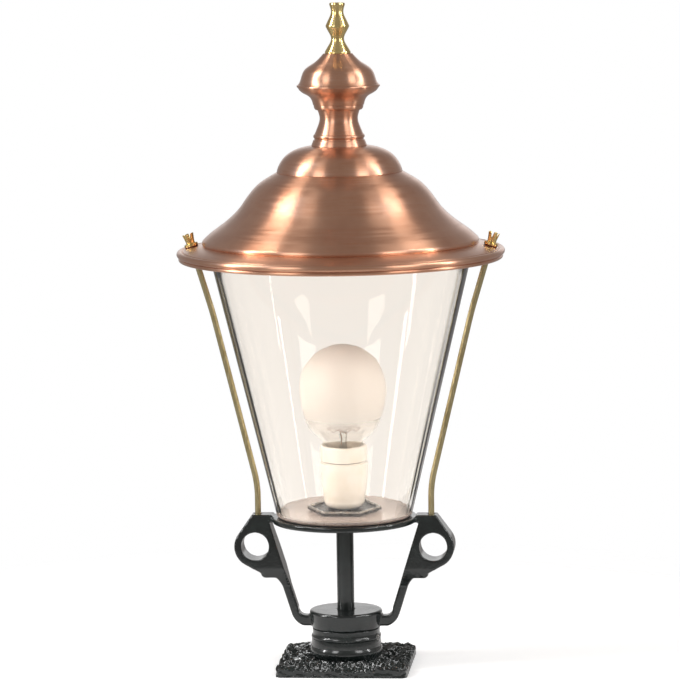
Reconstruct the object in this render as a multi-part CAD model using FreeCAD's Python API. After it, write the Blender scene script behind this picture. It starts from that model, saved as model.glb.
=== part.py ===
import FreeCAD, Part
import math
import os

# Post top lantern: a conical clear shade under a spun copper hood, drawn down by two
# inclined brass rods on a cast cradle, over a socket for a round post.
# Millimetres, +Z up. The origin is the middle of the foot plate's underside. The rods and
# the eyes of the cradle lie along X, and the front is -Y.

Vector = FreeCAD.Vector
UP = Vector(0, 0, 1)
CENTRE = Vector(0, 0, 0)

# --- foot plate and post socket ---
plate_side = 132.0
plate_thickness = 10.0
plate_corner_radius = 4.0
plate_edge_chamfer = 1.5
post_bore_radius = 30.2          # takes a 60 mm post spigot
socket_height = 29.0
socket_wall = 3.8
socket_bead_swell = 2.4          # beyond the band
socket_bead_height = 11.0
socket_ring_swell = 1.1
socket_ring_height = 4.4
socket_ring_rise = 20.5          # ring centre over the plate
clamp_screw_radius = 3.0
clamp_screw_key = 3.0            # across flats of the key hole
clamp_screw_key_depth = 2.0
clamp_screw_angles = (-20.0, 160.0)
clamp_screw_end_gap = 0.4        # screw point back from the bore wall

# --- cradle: hub, ring, arms with eyes ---
hub_height = 18.3
hub_shoulder_swell = 2.8         # beyond the hub's lower edge
hub_chamfer_height = 1.8
hub_chamfer_width = 1.5
hub_bore_height = 5.0            # how far the post goes up into the hub
hub_chamber_clearance = 8.0      # round the locknut, for a spanner
hub_roof_thickness = 6.0
ring_outer_radius = 72.8
ring_width = 13.0
ring_thickness = 5.2
ring_top_level = 152.4
ring_edge_rounding = 1.0
arm_top_rise = 2.2               # over the ring
arm_root_offset = 2.4            # inner side at the ring, beyond its outer edge
arm_top_overhang = 5.5           # beyond the rod's axis
arm_depth = 29.0                 # front to back at the eye
arm_top_depth = 20.0
arm_foot_depth = 13.0
arm_width = 8.3                  # of the plain stretch under the eye
arm_foot_height = 10.5
arm_foot_rise = 2.0              # over the hub's lower edge
arm_foot_reach = 8.4             # inner side of the foot's bend, beyond the hub's shoulder
arm_foot_inner_bend = 8.0
arm_foot_outer_bend = 13.0
eye_offset = 16.95               # beyond the ring
eye_drop = 29.5                  # under the ring's top
eye_hole_radius = 14.0
eye_wall = 7.0
scroll_radius = 5.2              # cast boss under the eye
scroll_inset = 10.3              # inside the eye's centre
scroll_drop = 27.2
scroll_shoulder_inset = 2.6      # corner over the boss, inside the eye's centre
scroll_shoulder_drop = 25.5
scroll_depth = 22.0
scroll_tail = 13.0               # height of the hollow curve from the boss back to the arm
scroll_button_radius = 2.6
scroll_button_height = 1.2
arm_taper_drop = 23.0            # under the eye's centre, where the arm starts to thin
arm_taper_height = 18.0

# --- stem tube and what it clamps ---
stem_radius = 8.6                # 3/8 inch pipe
stem_wall = 2.4
stem_hole_clearance = 0.2
stem_tail = 5.5                  # below the hub's roof
locknut_wall = 3.4               # across flats, over the tube
locknut_height = 4.6
locknut_turn = 30.0              # a flat to the right
clamp_disc_margin = 10.6         # beyond the hole in the glass
clamp_disc_thickness = 2.0
clamp_pad_thickness = 1.0

# --- shade ---
gasket_thickness = 0.8
gasket_width = 7.0
gasket_inset = 1.5
shade_edge_inset = 5.2           # the glass inside the ring's outer edge
shade_slope = 0.24               # radius gained per unit of height
shade_height = 267.3
shade_wall = 3.0
shade_floor = 3.2
shade_edge_rounding = 1.5
shade_floor_hole_clearance = 1.8
seal_lip = 1.5                   # rubber on each side of the glass
seal_skirt = 4.0                 # how far the rubber hangs down the glass
seal_head = 6.5                  # rubber over the glass

# --- hex plate and lampholder ---
hex_pad_thickness = 1.0
hex_plate_corner_radius = 37.5
hex_plate_thickness = 1.5
hex_lip_height = 2.2
hex_lip_width = 2.4
hex_pad_inset = 3.0
holder_skirt_gap = 1.6           # porcelain rim over the hex plate's floor
holder_base_radius = 16.6
holder_base_flare = 4.0          # gained over the rounded bottom
holder_recess_clearance = 1.3    # round the locknut
holder_web_thickness = 5.0
holder_body_height = 44.2
holder_bottom_rounding = 7.0
holder_belly = 0.7               # swell of the body's side
holder_shell_space = 3.7         # round the screw shell
holder_wall = 5.0                # at the neck
holder_neck_step = 1.5
holder_rim_height = 3.5
holder_rim_taper = 0.4
holder_neck_height = 1.8
holder_ring_step = 1.3           # the ring beyond the neck
holder_ring_height = 15.7
holder_ring_rounding = 2.2
holder_lip = 2.9                 # the ring's wall at its mouth
holder_throat_clearance = 0.6
holder_throat_height = 4.8
contact_block_height = 8.0
contact_block_clearance = 0.2
contact_block_floor = 2.5
wire_hole_radius = 4.2
screw_shell_wall = 0.6
screw_shell_height = 30.5
contact_strip = 0.8
contact_tongue_width = 6.0
contact_tongue_height = 5.6
contact_tongue_length = 18.0

# --- bulb ---
bulb_cap_radius = 13.0
bulb_cap_clearance = 0.08        # turning fit in the screw shell
bulb_cap_height = 24.0
bulb_cap_wall = 0.5
bulb_cap_lip = 5.0               # width of the cap's turned-in foot
bulb_tip_radius = 5.0
bulb_tip_height = 2.6
bulb_insulator_height = 2.4
bulb_tip_gap = 0.3
bulb_globe_radius = 43.8
bulb_globe_rise = 67.4           # globe centre over the cap
bulb_glass_wall = 0.8
bulb_foot_inset = 0.1
bulb_mount_drop = 8.0            # foot of the glass mount, inside the cap
bulb_mount_disc = 1.0
bulb_stem_radius = 4.5
bulb_stem_height = 33.0
bulb_flare_height = 12.0
filament_ring_radius = 18.0
filament_rise = 3.4              # filament ring over the glass stem
filament_wire_radius = 0.5
filament_supports = 5

# --- hood: sheet copper shells on a stud ---
sheet = 1.2
brim_inner_margin = 2.2          # the brim's inner edge inside the seal
brim_flat_margin = 5.0           # the flat beyond the seal
brim_slope = 0.30                # drop per unit of radius
brim_slope_width = 18.6
brim_bead_offset = 4.0           # bead centre beyond the slope
brim_bead_size = 2.8
brim_bead_drop = 3.7             # bead centre under the slope's end
brim_lip_size = 2.0
brim_lip_inset = 1.0             # lip centre inside the bead's
brim_lip_drop = 4.5              # lip centre under the bead's
brim_rim_inset = 3.2             # inner face of the rim, inside the bead's centre
roof_height = 71.2
roof_top_radius = 63.2
roof_edge_rise = 5.1             # where the roof's curve meets its turned hem
roof_hem_inset = 0.95            # inside the brim's flat
roof_hem_bulge = 0.7
roof_edge_inset = 0.6            # the curve's end inside the hem's foot
dome_height = 26.0
dome_foot_inset = 0.5
dome_top_margin = 0.7            # beyond the neck's foot
neck_height = 40.6
neck_foot_radius = 27.9
neck_foot_height = 6.0
neck_foot_taper = 2.3
neck_groove_depth = 1.0
neck_groove_height = 1.6
neck_bead_height = 4.2
neck_bead_fall = 1.4
neck_waist_radius = 19.0
neck_waist_rise = 26.6
neck_throat_flare = 2.2
neck_band_radius = 24.6
neck_band_height = 4.6
neck_wall = 2.4
dish_height = 17.6
dish_foot_step = 0.6             # beyond the neck's band
cap_height = 33.4
cap_lip_radius = 41.4
cap_lip_height = 2.8
cap_lip_roll = 1.4
cap_top_margin = 1.6             # beyond the finial's base
finial_base_radius = 12.8
finial_height = 50.0
finial_foot_height = 1.9
finial_waist_radius = 6.4
finial_ridge_radius = 11.7
finial_ridge_height = 2.6
finial_neck_radius = 6.2
finial_cup_radius = 7.8
finial_cup_wall = 2.2
finial_cup_depth = 2.2
stud_radius = 3.0
stud_hole_clearance = 0.2
stud_in_finial = 14.0
stud_tail = 3.0                  # beyond the nut
stud_washer_width = 5.8
stud_washer_thickness = 1.5
stud_nut_wall = 2.0              # across flats, over the stud
stud_nut_height = 5.0

# --- rods and their crown nuts ---
rod_radius = 3.0
rod_foot_offset = 14.7           # beyond the ring
rod_socket_depth = 8.0
rod_socket_clearance = 0.1
rod_lower_bend_rise = 29.9       # over the arm's top
rod_lower_bend_radius = 110.0
rod_nut_offset = 11.3            # where the rod comes out of the brim, beyond its flat
rod_top_run = 69.0               # from the upper bend to the brim
rod_upper_bend_radius = 420.0
rod_thread_engaged = 6.0
slot_clearance = 0.5
fibre_washer_width = 3.25
nut_washer_width = 3.85
washer_thickness = 0.9
washer_hole_clearance = 0.35
washer_seat_gap = 0.1            # the flat washer over the brim's cone
nut_flange_width = 2.5           # beyond the waist
nut_flange_height = 1.5
nut_flange_fall = 0.8
nut_wall = 1.4                   # at the waist, over the rod
nut_body_height = 6.2
nut_height = 11.8
nut_mouth_flare = 1.5            # the mouth beyond the waist
nut_cup_wall = 1.1
nut_cup_floor_step = 0.4
nut_notches = 5
nut_notch_floor = 0.4            # width of a notch's floor, of its width at the mouth
nut_notch_share = 0.62           # of the mouth, taken by the notches
nut_thread_clearance = 0.08

# --- radii that follow from the sizes above ---
socket_band_radius = post_bore_radius + socket_wall
socket_bead_radius = socket_band_radius + socket_bead_swell
socket_ring_radius = socket_band_radius + socket_ring_swell
hub_shoulder_radius = socket_band_radius + hub_shoulder_swell
ring_inner_radius = ring_outer_radius - ring_width
eye_reach = ring_outer_radius + eye_offset
eye_outer_radius = eye_hole_radius + eye_wall
scroll_reach = eye_reach - scroll_inset
rod_foot_reach = ring_outer_radius + rod_foot_offset
stem_bore_radius = stem_radius - stem_wall
stem_hole_radius = stem_radius + stem_hole_clearance
locknut_corner_radius = (stem_radius + locknut_wall) * 2.0 / math.sqrt(3.0)
shade_hole_radius = stem_radius + shade_floor_hole_clearance
clamp_disc_radius = shade_hole_radius + clamp_disc_margin
shell_outer_radius = bulb_cap_radius + bulb_cap_clearance + screw_shell_wall
holder_chamber_radius = shell_outer_radius + holder_shell_space
holder_neck_radius = holder_chamber_radius + holder_wall
holder_ring_radius = holder_neck_radius + holder_ring_step
holder_throat_radius = shell_outer_radius + holder_throat_clearance
stud_hole_radius = stud_radius + stud_hole_clearance
nut_thread_radius = rod_radius + nut_thread_clearance
nut_waist_radius = rod_radius + nut_wall
nut_mouth_radius = nut_waist_radius + nut_mouth_flare
washer_hole_radius = rod_radius + washer_hole_clearance

# --- levels that follow from the sizes above ---
socket_ring_level = plate_thickness + socket_ring_rise
hub_bottom_level = plate_thickness + socket_height
hub_top_level = hub_bottom_level + hub_height
hub_ceiling_level = hub_top_level - hub_roof_thickness
post_stop_level = hub_bottom_level + hub_bore_height
arm_foot_bottom_level = hub_bottom_level + arm_foot_rise
arm_foot_top_level = arm_foot_bottom_level + arm_foot_height
ring_bottom_level = ring_top_level - ring_thickness
arm_top_level = ring_top_level + arm_top_rise
eye_level = ring_top_level - eye_drop
scroll_level = eye_level - scroll_drop
stem_bottom_level = hub_ceiling_level - stem_tail
glass_bottom_level = ring_top_level + gasket_thickness
clamp_disc_level = glass_bottom_level - clamp_pad_thickness - clamp_disc_thickness
glass_floor_level = glass_bottom_level + shade_floor
glass_top_level = glass_bottom_level + shade_height
hex_bottom_level = glass_floor_level + hex_pad_thickness
hex_floor_level = hex_bottom_level + hex_plate_thickness
holder_bottom_level = hex_floor_level + holder_skirt_gap
holder_seat_level = hex_floor_level + locknut_height
holder_web_level = holder_seat_level + holder_web_thickness
holder_shoulder_level = holder_bottom_level + holder_body_height
ring_seat_level = holder_shoulder_level + holder_neck_height
ring_mouth_level = ring_seat_level + holder_ring_height
block_top_level = holder_web_level + contact_block_height
bulb_bottom_level = block_top_level + contact_tongue_height + bulb_tip_gap
bulb_cap_level = bulb_bottom_level + bulb_tip_height + bulb_insulator_height
bulb_neck_level = bulb_cap_level + bulb_cap_height
bulb_globe_level = bulb_neck_level + bulb_globe_rise
bulb_mount_level = bulb_neck_level - bulb_mount_drop
brim_under_level = glass_top_level + seal_head
brim_top_level = brim_under_level + sheet
roof_top_level = brim_top_level + roof_height
dome_top_level = roof_top_level + dome_height
neck_top_level = dome_top_level + neck_height
dish_top_level = neck_top_level + dish_height
cap_top_level = dish_top_level + cap_height
finial_top_level = cap_top_level + finial_height
stud_washer_level = roof_top_level - sheet - stud_washer_thickness


def shade_radius(level):
    """The glass's outer radius."""
    return ring_outer_radius - shade_edge_inset + shade_slope * (level - glass_bottom_level)


# --- the hood's radii, from the top of the shade outwards ---
seal_outer_radius = shade_radius(glass_top_level) + seal_lip
seal_inner_radius = shade_radius(glass_top_level) - shade_wall - seal_lip
brim_inner_radius = seal_inner_radius - brim_inner_margin
brim_flat_radius = seal_outer_radius + brim_flat_margin
brim_slope_end_radius = brim_flat_radius + brim_slope_width
brim_bead_radius = brim_slope_end_radius + brim_bead_offset
brim_slope_end_level = brim_top_level - brim_slope * brim_slope_width
brim_bead_level = brim_slope_end_level - brim_bead_drop
brim_lip_level = brim_bead_level - brim_lip_drop
brim_lip_radius = brim_bead_radius - brim_lip_inset
rod_nut_reach = brim_flat_radius + rod_nut_offset
roof_hem_foot_radius = brim_flat_radius - roof_hem_inset
roof_edge_radius = roof_hem_foot_radius - roof_edge_inset
dome_foot_radius = roof_top_radius - dome_foot_inset
dome_top_radius = neck_foot_radius + dome_top_margin
dish_foot_radius = neck_band_radius + dish_foot_step
dish_rim_radius = cap_lip_radius - cap_lip_roll + 0.4
cap_top_radius = finial_base_radius + cap_top_margin


def cylinder(radius, low, high, x=0.0, y=0.0):
    return Part.makeCylinder(radius, high - low, Vector(x, y, low), UP)


def tube(inner, outer, low, high):
    return cylinder(outer, low, high).cut(cylinder(inner, low, high))


def hexagon(corner_radius, low, high, turn=0.0):
    """A hexagonal prism about the axis, with a corner at the angle turn in degrees."""
    corners = []
    for side in range(7):
        angle = math.radians(turn + 60.0 * side)
        corners.append(Vector(corner_radius * math.cos(angle), corner_radius * math.sin(angle), low))
    return Part.Face(Part.makePolygon(corners)).extrude(Vector(0, 0, high - low))


def at(radius, level):
    return Vector(radius, 0, level)


def line(start, end):
    return Part.makeLine(at(*start), at(*end))


def arc(start, middle, end):
    return Part.Arc(at(*start), at(*middle), at(*end)).toShape()


def smooth(points):
    """A smooth curve through (radius, level) points."""
    curve = Part.BSplineCurve()
    curve.interpolate([at(*point) for point in points])
    return curve


def inside(points, wall):
    """The points moved in by a wall, square to the smooth curve through them. The last keeps its level."""
    curve = smooth(points)
    moved = []
    for radius, level in points:
        along = curve.tangent(curve.parameter(at(radius, level)))[0]
        moved.append((radius - wall * abs(along.z), level - wall * abs(along.x)))
    moved[-1] = (radius - wall / abs(along.z), level)
    return moved


def spread(shares, start_radius, start_level, run, rise):
    """Outline points from shares of a run outwards and a rise upwards."""
    return [(start_radius + out * run, start_level + up * rise) for out, up in shares]


def turned(edges):
    """A solid of revolution from edges that close a half section."""
    section = Part.Face(Part.Wire(Part.__sortEdges__(edges)))
    return section.revolve(CENTRE, UP, 360.0)


def chain(points):
    """Straight edges from each point to the next."""
    return [line(start, end) for start, end in zip(points, points[1:])]


def mirrored(shape):
    return shape.mirror(CENTRE, Vector(1, 0, 0))


# ---------------------------------------------------------------- foot, socket, screws

def foot_plate():
    half = plate_side / 2.0
    plate = Part.makeBox(plate_side, plate_side, plate_thickness, Vector(-half, -half, 0))
    upright = [edge for edge in plate.Edges if edge.BoundBox.ZLength > plate_thickness / 2.0]
    plate = plate.makeFillet(plate_corner_radius, upright)
    rim = [edge for edge in plate.Edges if edge.BoundBox.ZMin > plate_thickness / 2.0]
    plate = plate.makeChamfer(plate_edge_chamfer, rim)
    return plate.cut(cylinder(post_bore_radius, 0, plate_thickness))


def screw_axis(angle):
    turn = math.radians(angle)
    return Vector(math.cos(turn), math.sin(turn), 0)


def clamp_screw_hole(angle):
    axis = screw_axis(angle)
    return Part.makeCylinder(clamp_screw_radius, 2 * socket_ring_radius, UP * socket_ring_level, axis)


def post_socket():
    """The socket's stack: a bead at the foot, a band, a thin ring and a band again."""
    low = plate_thickness
    bead_top = low + socket_bead_height
    ring_low = socket_ring_level - socket_ring_height / 2.0
    ring_high = socket_ring_level + socket_ring_height / 2.0
    edges = [
        arc((socket_band_radius, low), (socket_bead_radius, (low + bead_top) / 2.0),
            (socket_band_radius, bead_top)),
        line((socket_band_radius, bead_top), (socket_band_radius, ring_low)),
        arc((socket_band_radius, ring_low), (socket_ring_radius, socket_ring_level),
            (socket_band_radius, ring_high)),
    ]
    edges += chain([(socket_band_radius, ring_high), (socket_band_radius, hub_bottom_level),
                    (post_bore_radius, hub_bottom_level), (post_bore_radius, low), (socket_band_radius, low)])
    socket = turned(edges)
    for angle in clamp_screw_angles:
        socket = socket.cut(clamp_screw_hole(angle))
    return socket


def socket_screws():
    screws = []
    for angle in clamp_screw_angles:
        axis = screw_axis(angle)
        start = post_bore_radius + clamp_screw_end_gap
        screw = Part.makeCylinder(clamp_screw_radius, socket_ring_radius - start,
                                  axis * start + UP * socket_ring_level, axis)
        key = hexagon(clamp_screw_key / math.sqrt(3.0), 0, clamp_screw_key_depth)
        key_foot = axis * (socket_ring_radius - clamp_screw_key_depth) + UP * socket_ring_level
        key.Placement = FreeCAD.Placement(key_foot, FreeCAD.Rotation(UP, axis))
        screws.append(screw.cut(key))
    return Part.makeCompound(screws)


# ---------------------------------------------------------------- cradle

def hub_outline():
    """The hub's outer side, from its lower edge to its top face."""
    return [(socket_band_radius, hub_bottom_level),
            (hub_shoulder_radius, hub_top_level - hub_chamfer_height),
            (hub_shoulder_radius - hub_chamfer_width, hub_top_level)]


def cradle_hub():
    chamber_radius = locknut_corner_radius + hub_chamber_clearance
    inner = [(stem_hole_radius, hub_top_level), (stem_hole_radius, hub_ceiling_level),
             (chamber_radius, hub_ceiling_level), (chamber_radius, post_stop_level),
             (post_bore_radius, post_stop_level), (post_bore_radius, hub_bottom_level)]
    return turned(chain(hub_outline() + inner + hub_outline()[:1]))


def cradle_ring():
    ring = tube(ring_inner_radius, ring_outer_radius, ring_bottom_level, ring_top_level)
    outer = [edge for edge in ring.Edges if edge.BoundBox.XMax > ring_outer_radius - ring_width / 2.0]
    rim = [edge for edge in outer if edge.BoundBox.ZLength < ring_thickness / 2.0]
    return ring.makeFillet(ring_edge_rounding, rim)


def arm_inner_reach(level):
    """The arm's inner side: a straight line from just outside the ring to the foot's bend."""
    foot_reach = hub_shoulder_radius + arm_foot_reach
    root_reach = ring_outer_radius + arm_root_offset
    share = (level - arm_foot_top_level) / (ring_bottom_level - arm_foot_top_level)
    return foot_reach + share * (root_reach - foot_reach)


def arm_outer_reach(level):
    """The outer side of the plain stretch, the arm's width away."""
    slope = (arm_inner_reach(1.0) - arm_inner_reach(0.0))
    return arm_inner_reach(level) + arm_width * math.hypot(1.0, slope)


def eye_tangent_point(start, side):
    """Where a straight from a point outside touches the eye's outer circle, on its 1 or -1 side."""
    across_gap = start[0] - eye_reach
    up_gap = start[1] - eye_level
    half_turn = math.acos(eye_outer_radius / math.hypot(across_gap, up_gap))
    turn = math.atan2(up_gap, across_gap) + side * half_turn
    return (eye_reach + eye_outer_radius * math.cos(turn), eye_level + eye_outer_radius * math.sin(turn))


def arm_foot_edges():
    """The arm's foot: it bends in from the plain stretch and runs level into the hub."""
    inner_start_level = arm_foot_top_level + arm_foot_inner_bend
    outer_start_level = arm_foot_bottom_level + arm_foot_outer_bend
    inner_start = (arm_inner_reach(inner_start_level), inner_start_level)
    inner_end = (arm_inner_reach(arm_foot_top_level) - arm_foot_inner_bend / 2.0, arm_foot_top_level)
    inner_middle = (arm_inner_reach(arm_foot_top_level) + 0.07 * arm_foot_inner_bend,
                    arm_foot_top_level + 0.28 * arm_foot_inner_bend)
    outer_start = (arm_outer_reach(outer_start_level), outer_start_level)
    outer_end = (arm_outer_reach(arm_foot_bottom_level) - 0.6 * arm_foot_outer_bend, arm_foot_bottom_level)
    outer_middle = (arm_outer_reach(arm_foot_bottom_level) - 0.05 * arm_foot_outer_bend,
                    arm_foot_bottom_level + 0.36 * arm_foot_outer_bend)
    edges = [arc(inner_start, inner_middle, inner_end), arc(outer_start, outer_middle, outer_end)]
    edges += chain([inner_end, (0.0, arm_foot_top_level), (0.0, arm_foot_bottom_level), outer_end])
    return inner_start, outer_start, edges


def arm_web():
    """The arm's flat outline without its eye: top, straight stretch, scroll's hollow and foot."""
    inner_start, outer_start, edges = arm_foot_edges()
    top_inner = ring_inner_radius + ring_width / 2.0
    tail_start = (arm_outer_reach(scroll_level) + 0.3 * scroll_radius, scroll_level - scroll_radius)
    tail_end_level = scroll_level - scroll_radius - scroll_tail
    tail_end = (arm_outer_reach(tail_end_level), tail_end_level)
    tail_middle_level = scroll_level - scroll_radius - 0.4 * scroll_tail
    tail_middle = (arm_outer_reach(tail_middle_level) + 0.06 * scroll_tail, tail_middle_level)
    top_corner = (rod_foot_reach + arm_top_overhang, arm_top_level)
    shoulder = (eye_reach - scroll_shoulder_inset, eye_level - scroll_shoulder_drop)
    edges += chain([
        inner_start, (ring_outer_radius + arm_root_offset, ring_bottom_level),
        (top_inner, ring_bottom_level), (top_inner, arm_top_level), top_corner,
        eye_tangent_point(top_corner, -1), eye_tangent_point(shoulder, 1), shoulder,
        (scroll_reach + scroll_radius, scroll_level), (scroll_reach, scroll_level),
        (scroll_reach, scroll_level - scroll_radius), tail_start])
    edges.append(arc(tail_start, tail_middle, tail_end))
    edges.append(line(tail_end, outer_start))
    return Part.Face(Part.Wire(Part.__sortEdges__(edges)))


def across(face, depth):
    """A flat outline in the XZ plane made as deep as given, half in front and half behind."""
    solid = face.extrude(Vector(0, depth, 0))
    solid.translate(Vector(0, -depth / 2.0, 0))
    return solid


def cross_cylinder(radius, reach, level, depth):
    return Part.makeCylinder(radius, depth, Vector(reach, -depth / 2.0, level), Vector(0, 1, 0))


def arm_side_envelope():
    """Front-to-back outline that thins the arm from the eye to its top and to its foot."""
    thin_level = eye_level - arm_taper_drop
    front = [(arm_foot_depth, 0), (arm_foot_depth, thin_level - arm_taper_height), (arm_depth, thin_level),
             (arm_depth, eye_level), (arm_top_depth, arm_top_level)]
    right = [Vector(0, depth / 2.0, level) for depth, level in front]
    left = [Vector(0, -depth / 2.0, level) for depth, level in reversed(front)]
    return Part.Face(Part.makePolygon(right + left + right[:1])).extrude(Vector(2 * eye_reach, 0, 0))


def right_arm():
    arm = across(arm_web(), arm_depth)
    arm = arm.fuse(cross_cylinder(eye_outer_radius, eye_reach, eye_level, arm_depth))
    arm = arm.common(arm_side_envelope())
    arm = arm.fuse(cross_cylinder(scroll_radius, scroll_reach, scroll_level, scroll_depth))
    button_depth = scroll_depth + 2 * scroll_button_height
    arm = arm.fuse(cross_cylinder(scroll_button_radius, scroll_reach, scroll_level, button_depth))
    arm = arm.removeSplitter()
    arm = arm.cut(cross_cylinder(eye_hole_radius, eye_reach, eye_level, 2 * arm_depth))
    arm = arm.cut(cylinder(ring_outer_radius, ring_bottom_level, 2 * arm_top_level))
    hub_side = [(0, hub_bottom_level)] + hub_outline() + [(0, hub_top_level), (0, hub_bottom_level)]
    arm = arm.cut(turned(chain(hub_side)))
    socket = cylinder(rod_radius + rod_socket_clearance, arm_top_level - rod_socket_depth, 2 * arm_top_level,
                      rod_foot_reach)
    return arm.cut(socket)


# ---------------------------------------------------------------- stem and clamped stack

def stem_tube():
    return tube(stem_bore_radius, stem_radius, stem_bottom_level, holder_web_level)


def stem_nut(low):
    nut = hexagon(locknut_corner_radius, low, low + locknut_height, locknut_turn)
    return nut.cut(cylinder(stem_radius, low, low + locknut_height))


def clamp_disc():
    top = clamp_disc_level + clamp_disc_thickness
    return tube(stem_hole_radius, clamp_disc_radius, clamp_disc_level, top)


def clamp_pad():
    low = glass_bottom_level - clamp_pad_thickness
    return tube(stem_hole_radius, clamp_disc_radius, low, glass_bottom_level)


def hex_pad():
    pad = hexagon(hex_plate_corner_radius - hex_pad_inset, glass_floor_level, hex_bottom_level)
    return pad.cut(cylinder(stem_hole_radius, glass_floor_level, hex_bottom_level))


def hex_plate():
    """The six-sided plate with its lip turned up, corners to the left and right."""
    top = hex_floor_level + hex_lip_height
    plate = hexagon(hex_plate_corner_radius, hex_bottom_level, top)
    plate = plate.cut(hexagon(hex_plate_corner_radius - hex_lip_width, hex_floor_level, top))
    return plate.cut(cylinder(stem_hole_radius, hex_bottom_level, top))


# ---------------------------------------------------------------- shade

def glass_shade():
    edge_level = glass_bottom_level + shade_edge_rounding
    return turned(chain([
        (shade_hole_radius, glass_bottom_level),
        (shade_radius(glass_bottom_level) - shade_edge_rounding, glass_bottom_level),
        (shade_radius(edge_level), edge_level),
        (shade_radius(glass_top_level), glass_top_level),
        (shade_radius(glass_top_level) - shade_wall, glass_top_level),
        (shade_radius(glass_floor_level) - shade_wall, glass_floor_level),
        (shade_hole_radius, glass_floor_level), (shade_hole_radius, glass_bottom_level)]))


def shade_gasket():
    outer = shade_radius(glass_bottom_level) - gasket_inset
    return tube(outer - gasket_width, outer, ring_top_level, glass_bottom_level)


def shade_seal():
    """A rubber channel over the glass's upper edge."""
    low = glass_top_level - seal_skirt
    return turned(chain([
        (seal_inner_radius, low), (shade_radius(low) - shade_wall, low),
        (shade_radius(glass_top_level) - shade_wall, glass_top_level),
        (shade_radius(glass_top_level), glass_top_level), (shade_radius(low), low),
        (seal_outer_radius, low), (seal_outer_radius, brim_under_level),
        (seal_inner_radius, brim_under_level), (seal_inner_radius, low)]))


# ---------------------------------------------------------------- lampholder

def lampholder_body():
    low = holder_bottom_level
    side_low = (holder_base_radius + holder_base_flare, low + holder_bottom_rounding)
    side_high = (holder_neck_radius + holder_neck_step + holder_rim_taper,
                 holder_shoulder_level - holder_rim_height)
    side_middle = ((side_low[0] + side_high[0]) / 2.0 + holder_belly, (side_low[1] + side_high[1]) / 2.0)
    recess_radius = locknut_corner_radius + holder_recess_clearance
    edges = [
        arc((holder_base_radius, low), (holder_base_radius + 0.65 * holder_base_flare,
                                        low + 0.3 * holder_bottom_rounding), side_low),
        arc(side_low, side_middle, side_high),
    ]
    edges += chain([
        side_high, (holder_neck_radius + holder_neck_step, holder_shoulder_level),
        (holder_neck_radius, holder_shoulder_level), (holder_neck_radius, ring_seat_level),
        (holder_chamber_radius, ring_seat_level), (holder_chamber_radius, holder_web_level),
        (stem_radius, holder_web_level), (stem_radius, holder_seat_level), (recess_radius, holder_seat_level),
        (recess_radius, low), (holder_base_radius, low)])
    return turned(edges)


def lampholder_ring():
    top = ring_mouth_level
    rounding = holder_ring_rounding
    edges = [arc((holder_ring_radius, top - rounding),
                 (holder_ring_radius - 0.3 * rounding, top - 0.3 * rounding),
                 (holder_ring_radius - rounding, top))]
    edges += chain([
        (holder_ring_radius - rounding, top), (holder_ring_radius - holder_lip, top),
        (holder_throat_radius, ring_seat_level + holder_throat_height),
        (holder_throat_radius, ring_seat_level), (holder_ring_radius, ring_seat_level),
        (holder_ring_radius, top - rounding)])
    return turned(edges)


def screw_shell():
    return tube(bulb_cap_radius + bulb_cap_clearance, shell_outer_radius, block_top_level,
                block_top_level + screw_shell_height)


def contact_block():
    block = cylinder(holder_chamber_radius - contact_block_clearance, holder_web_level, block_top_level)
    return block.cut(cylinder(wire_hole_radius, holder_web_level, block_top_level - contact_block_floor))


def centre_contact():
    """A bent brass strip whose tongue stands under the bulb's tip."""
    low = block_top_level
    top = low + contact_tongue_height
    half = contact_tongue_length / 2.0
    tongue = 0.3 * half
    side = [(-half, low), (half, low), (half, low + contact_strip), (-0.45 * half, low + contact_strip),
            (tongue, top - contact_strip), (tongue, top), (-tongue, top), (-half, low + contact_strip),
            (-half, low)]
    outline = Part.makePolygon([Vector(x, -contact_tongue_width / 2.0, z) for x, z in side])
    return Part.Face(outline).extrude(Vector(0, contact_tongue_width, 0))


# ---------------------------------------------------------------- bulb

def globe_neck_points(radius, foot_radius):
    """From the globe's middle down to its foot on the cap, as shares of its radius and height."""
    shares = ((1.0, 0.0), (0.94, 0.32), (0.83, 0.53), (0.69, 0.66), (0.5, 0.78), (0.37, 0.89))
    points = [(share * radius, bulb_globe_level - drop * bulb_globe_rise) for share, drop in shares]
    return points + [(foot_radius, bulb_neck_level)]


def globe_side(radius, foot_radius):
    """One face of the globe: a ball over a smooth run down to the foot."""
    slant = radius * math.sqrt(0.5)
    ball = arc((0, bulb_globe_level + radius), (slant, bulb_globe_level + slant), (radius, bulb_globe_level))
    neck_side = Part.BSplineCurve()
    neck_side.interpolate(Points=[at(*point) for point in globe_neck_points(radius, foot_radius)],
                          InitialTangent=Vector(0, 0, -1), FinalTangent=Vector(-0.2, 0, -1))
    return [ball, neck_side.toShape()]


def bulb_globe():
    foot = bulb_cap_radius - bulb_foot_inset
    inner_foot = foot - bulb_glass_wall
    inner_radius = bulb_globe_radius - bulb_glass_wall
    edges = globe_side(bulb_globe_radius, foot) + globe_side(inner_radius, inner_foot)
    edges.append(line((foot, bulb_neck_level), (inner_foot, bulb_neck_level)))
    edges.append(line((0, bulb_globe_level + inner_radius), (0, bulb_globe_level + bulb_globe_radius)))
    return turned(edges)


def bulb_cap():
    cap = tube(bulb_cap_radius - bulb_cap_wall, bulb_cap_radius, bulb_cap_level, bulb_neck_level)
    return cap.fuse(tube(bulb_cap_radius - bulb_cap_lip, bulb_cap_radius, bulb_cap_level,
                         bulb_cap_level + bulb_cap_wall))


def bulb_contact():
    """The glass insulator under the cap, with the contact tip."""
    tip_top = bulb_bottom_level + bulb_tip_height
    return turned(chain([
        (0, bulb_bottom_level), (bulb_tip_radius, bulb_bottom_level), (bulb_tip_radius, tip_top),
        (bulb_cap_radius - 2 * bulb_cap_wall, bulb_cap_level), (0, bulb_cap_level),
        (0, bulb_bottom_level)]))


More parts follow.
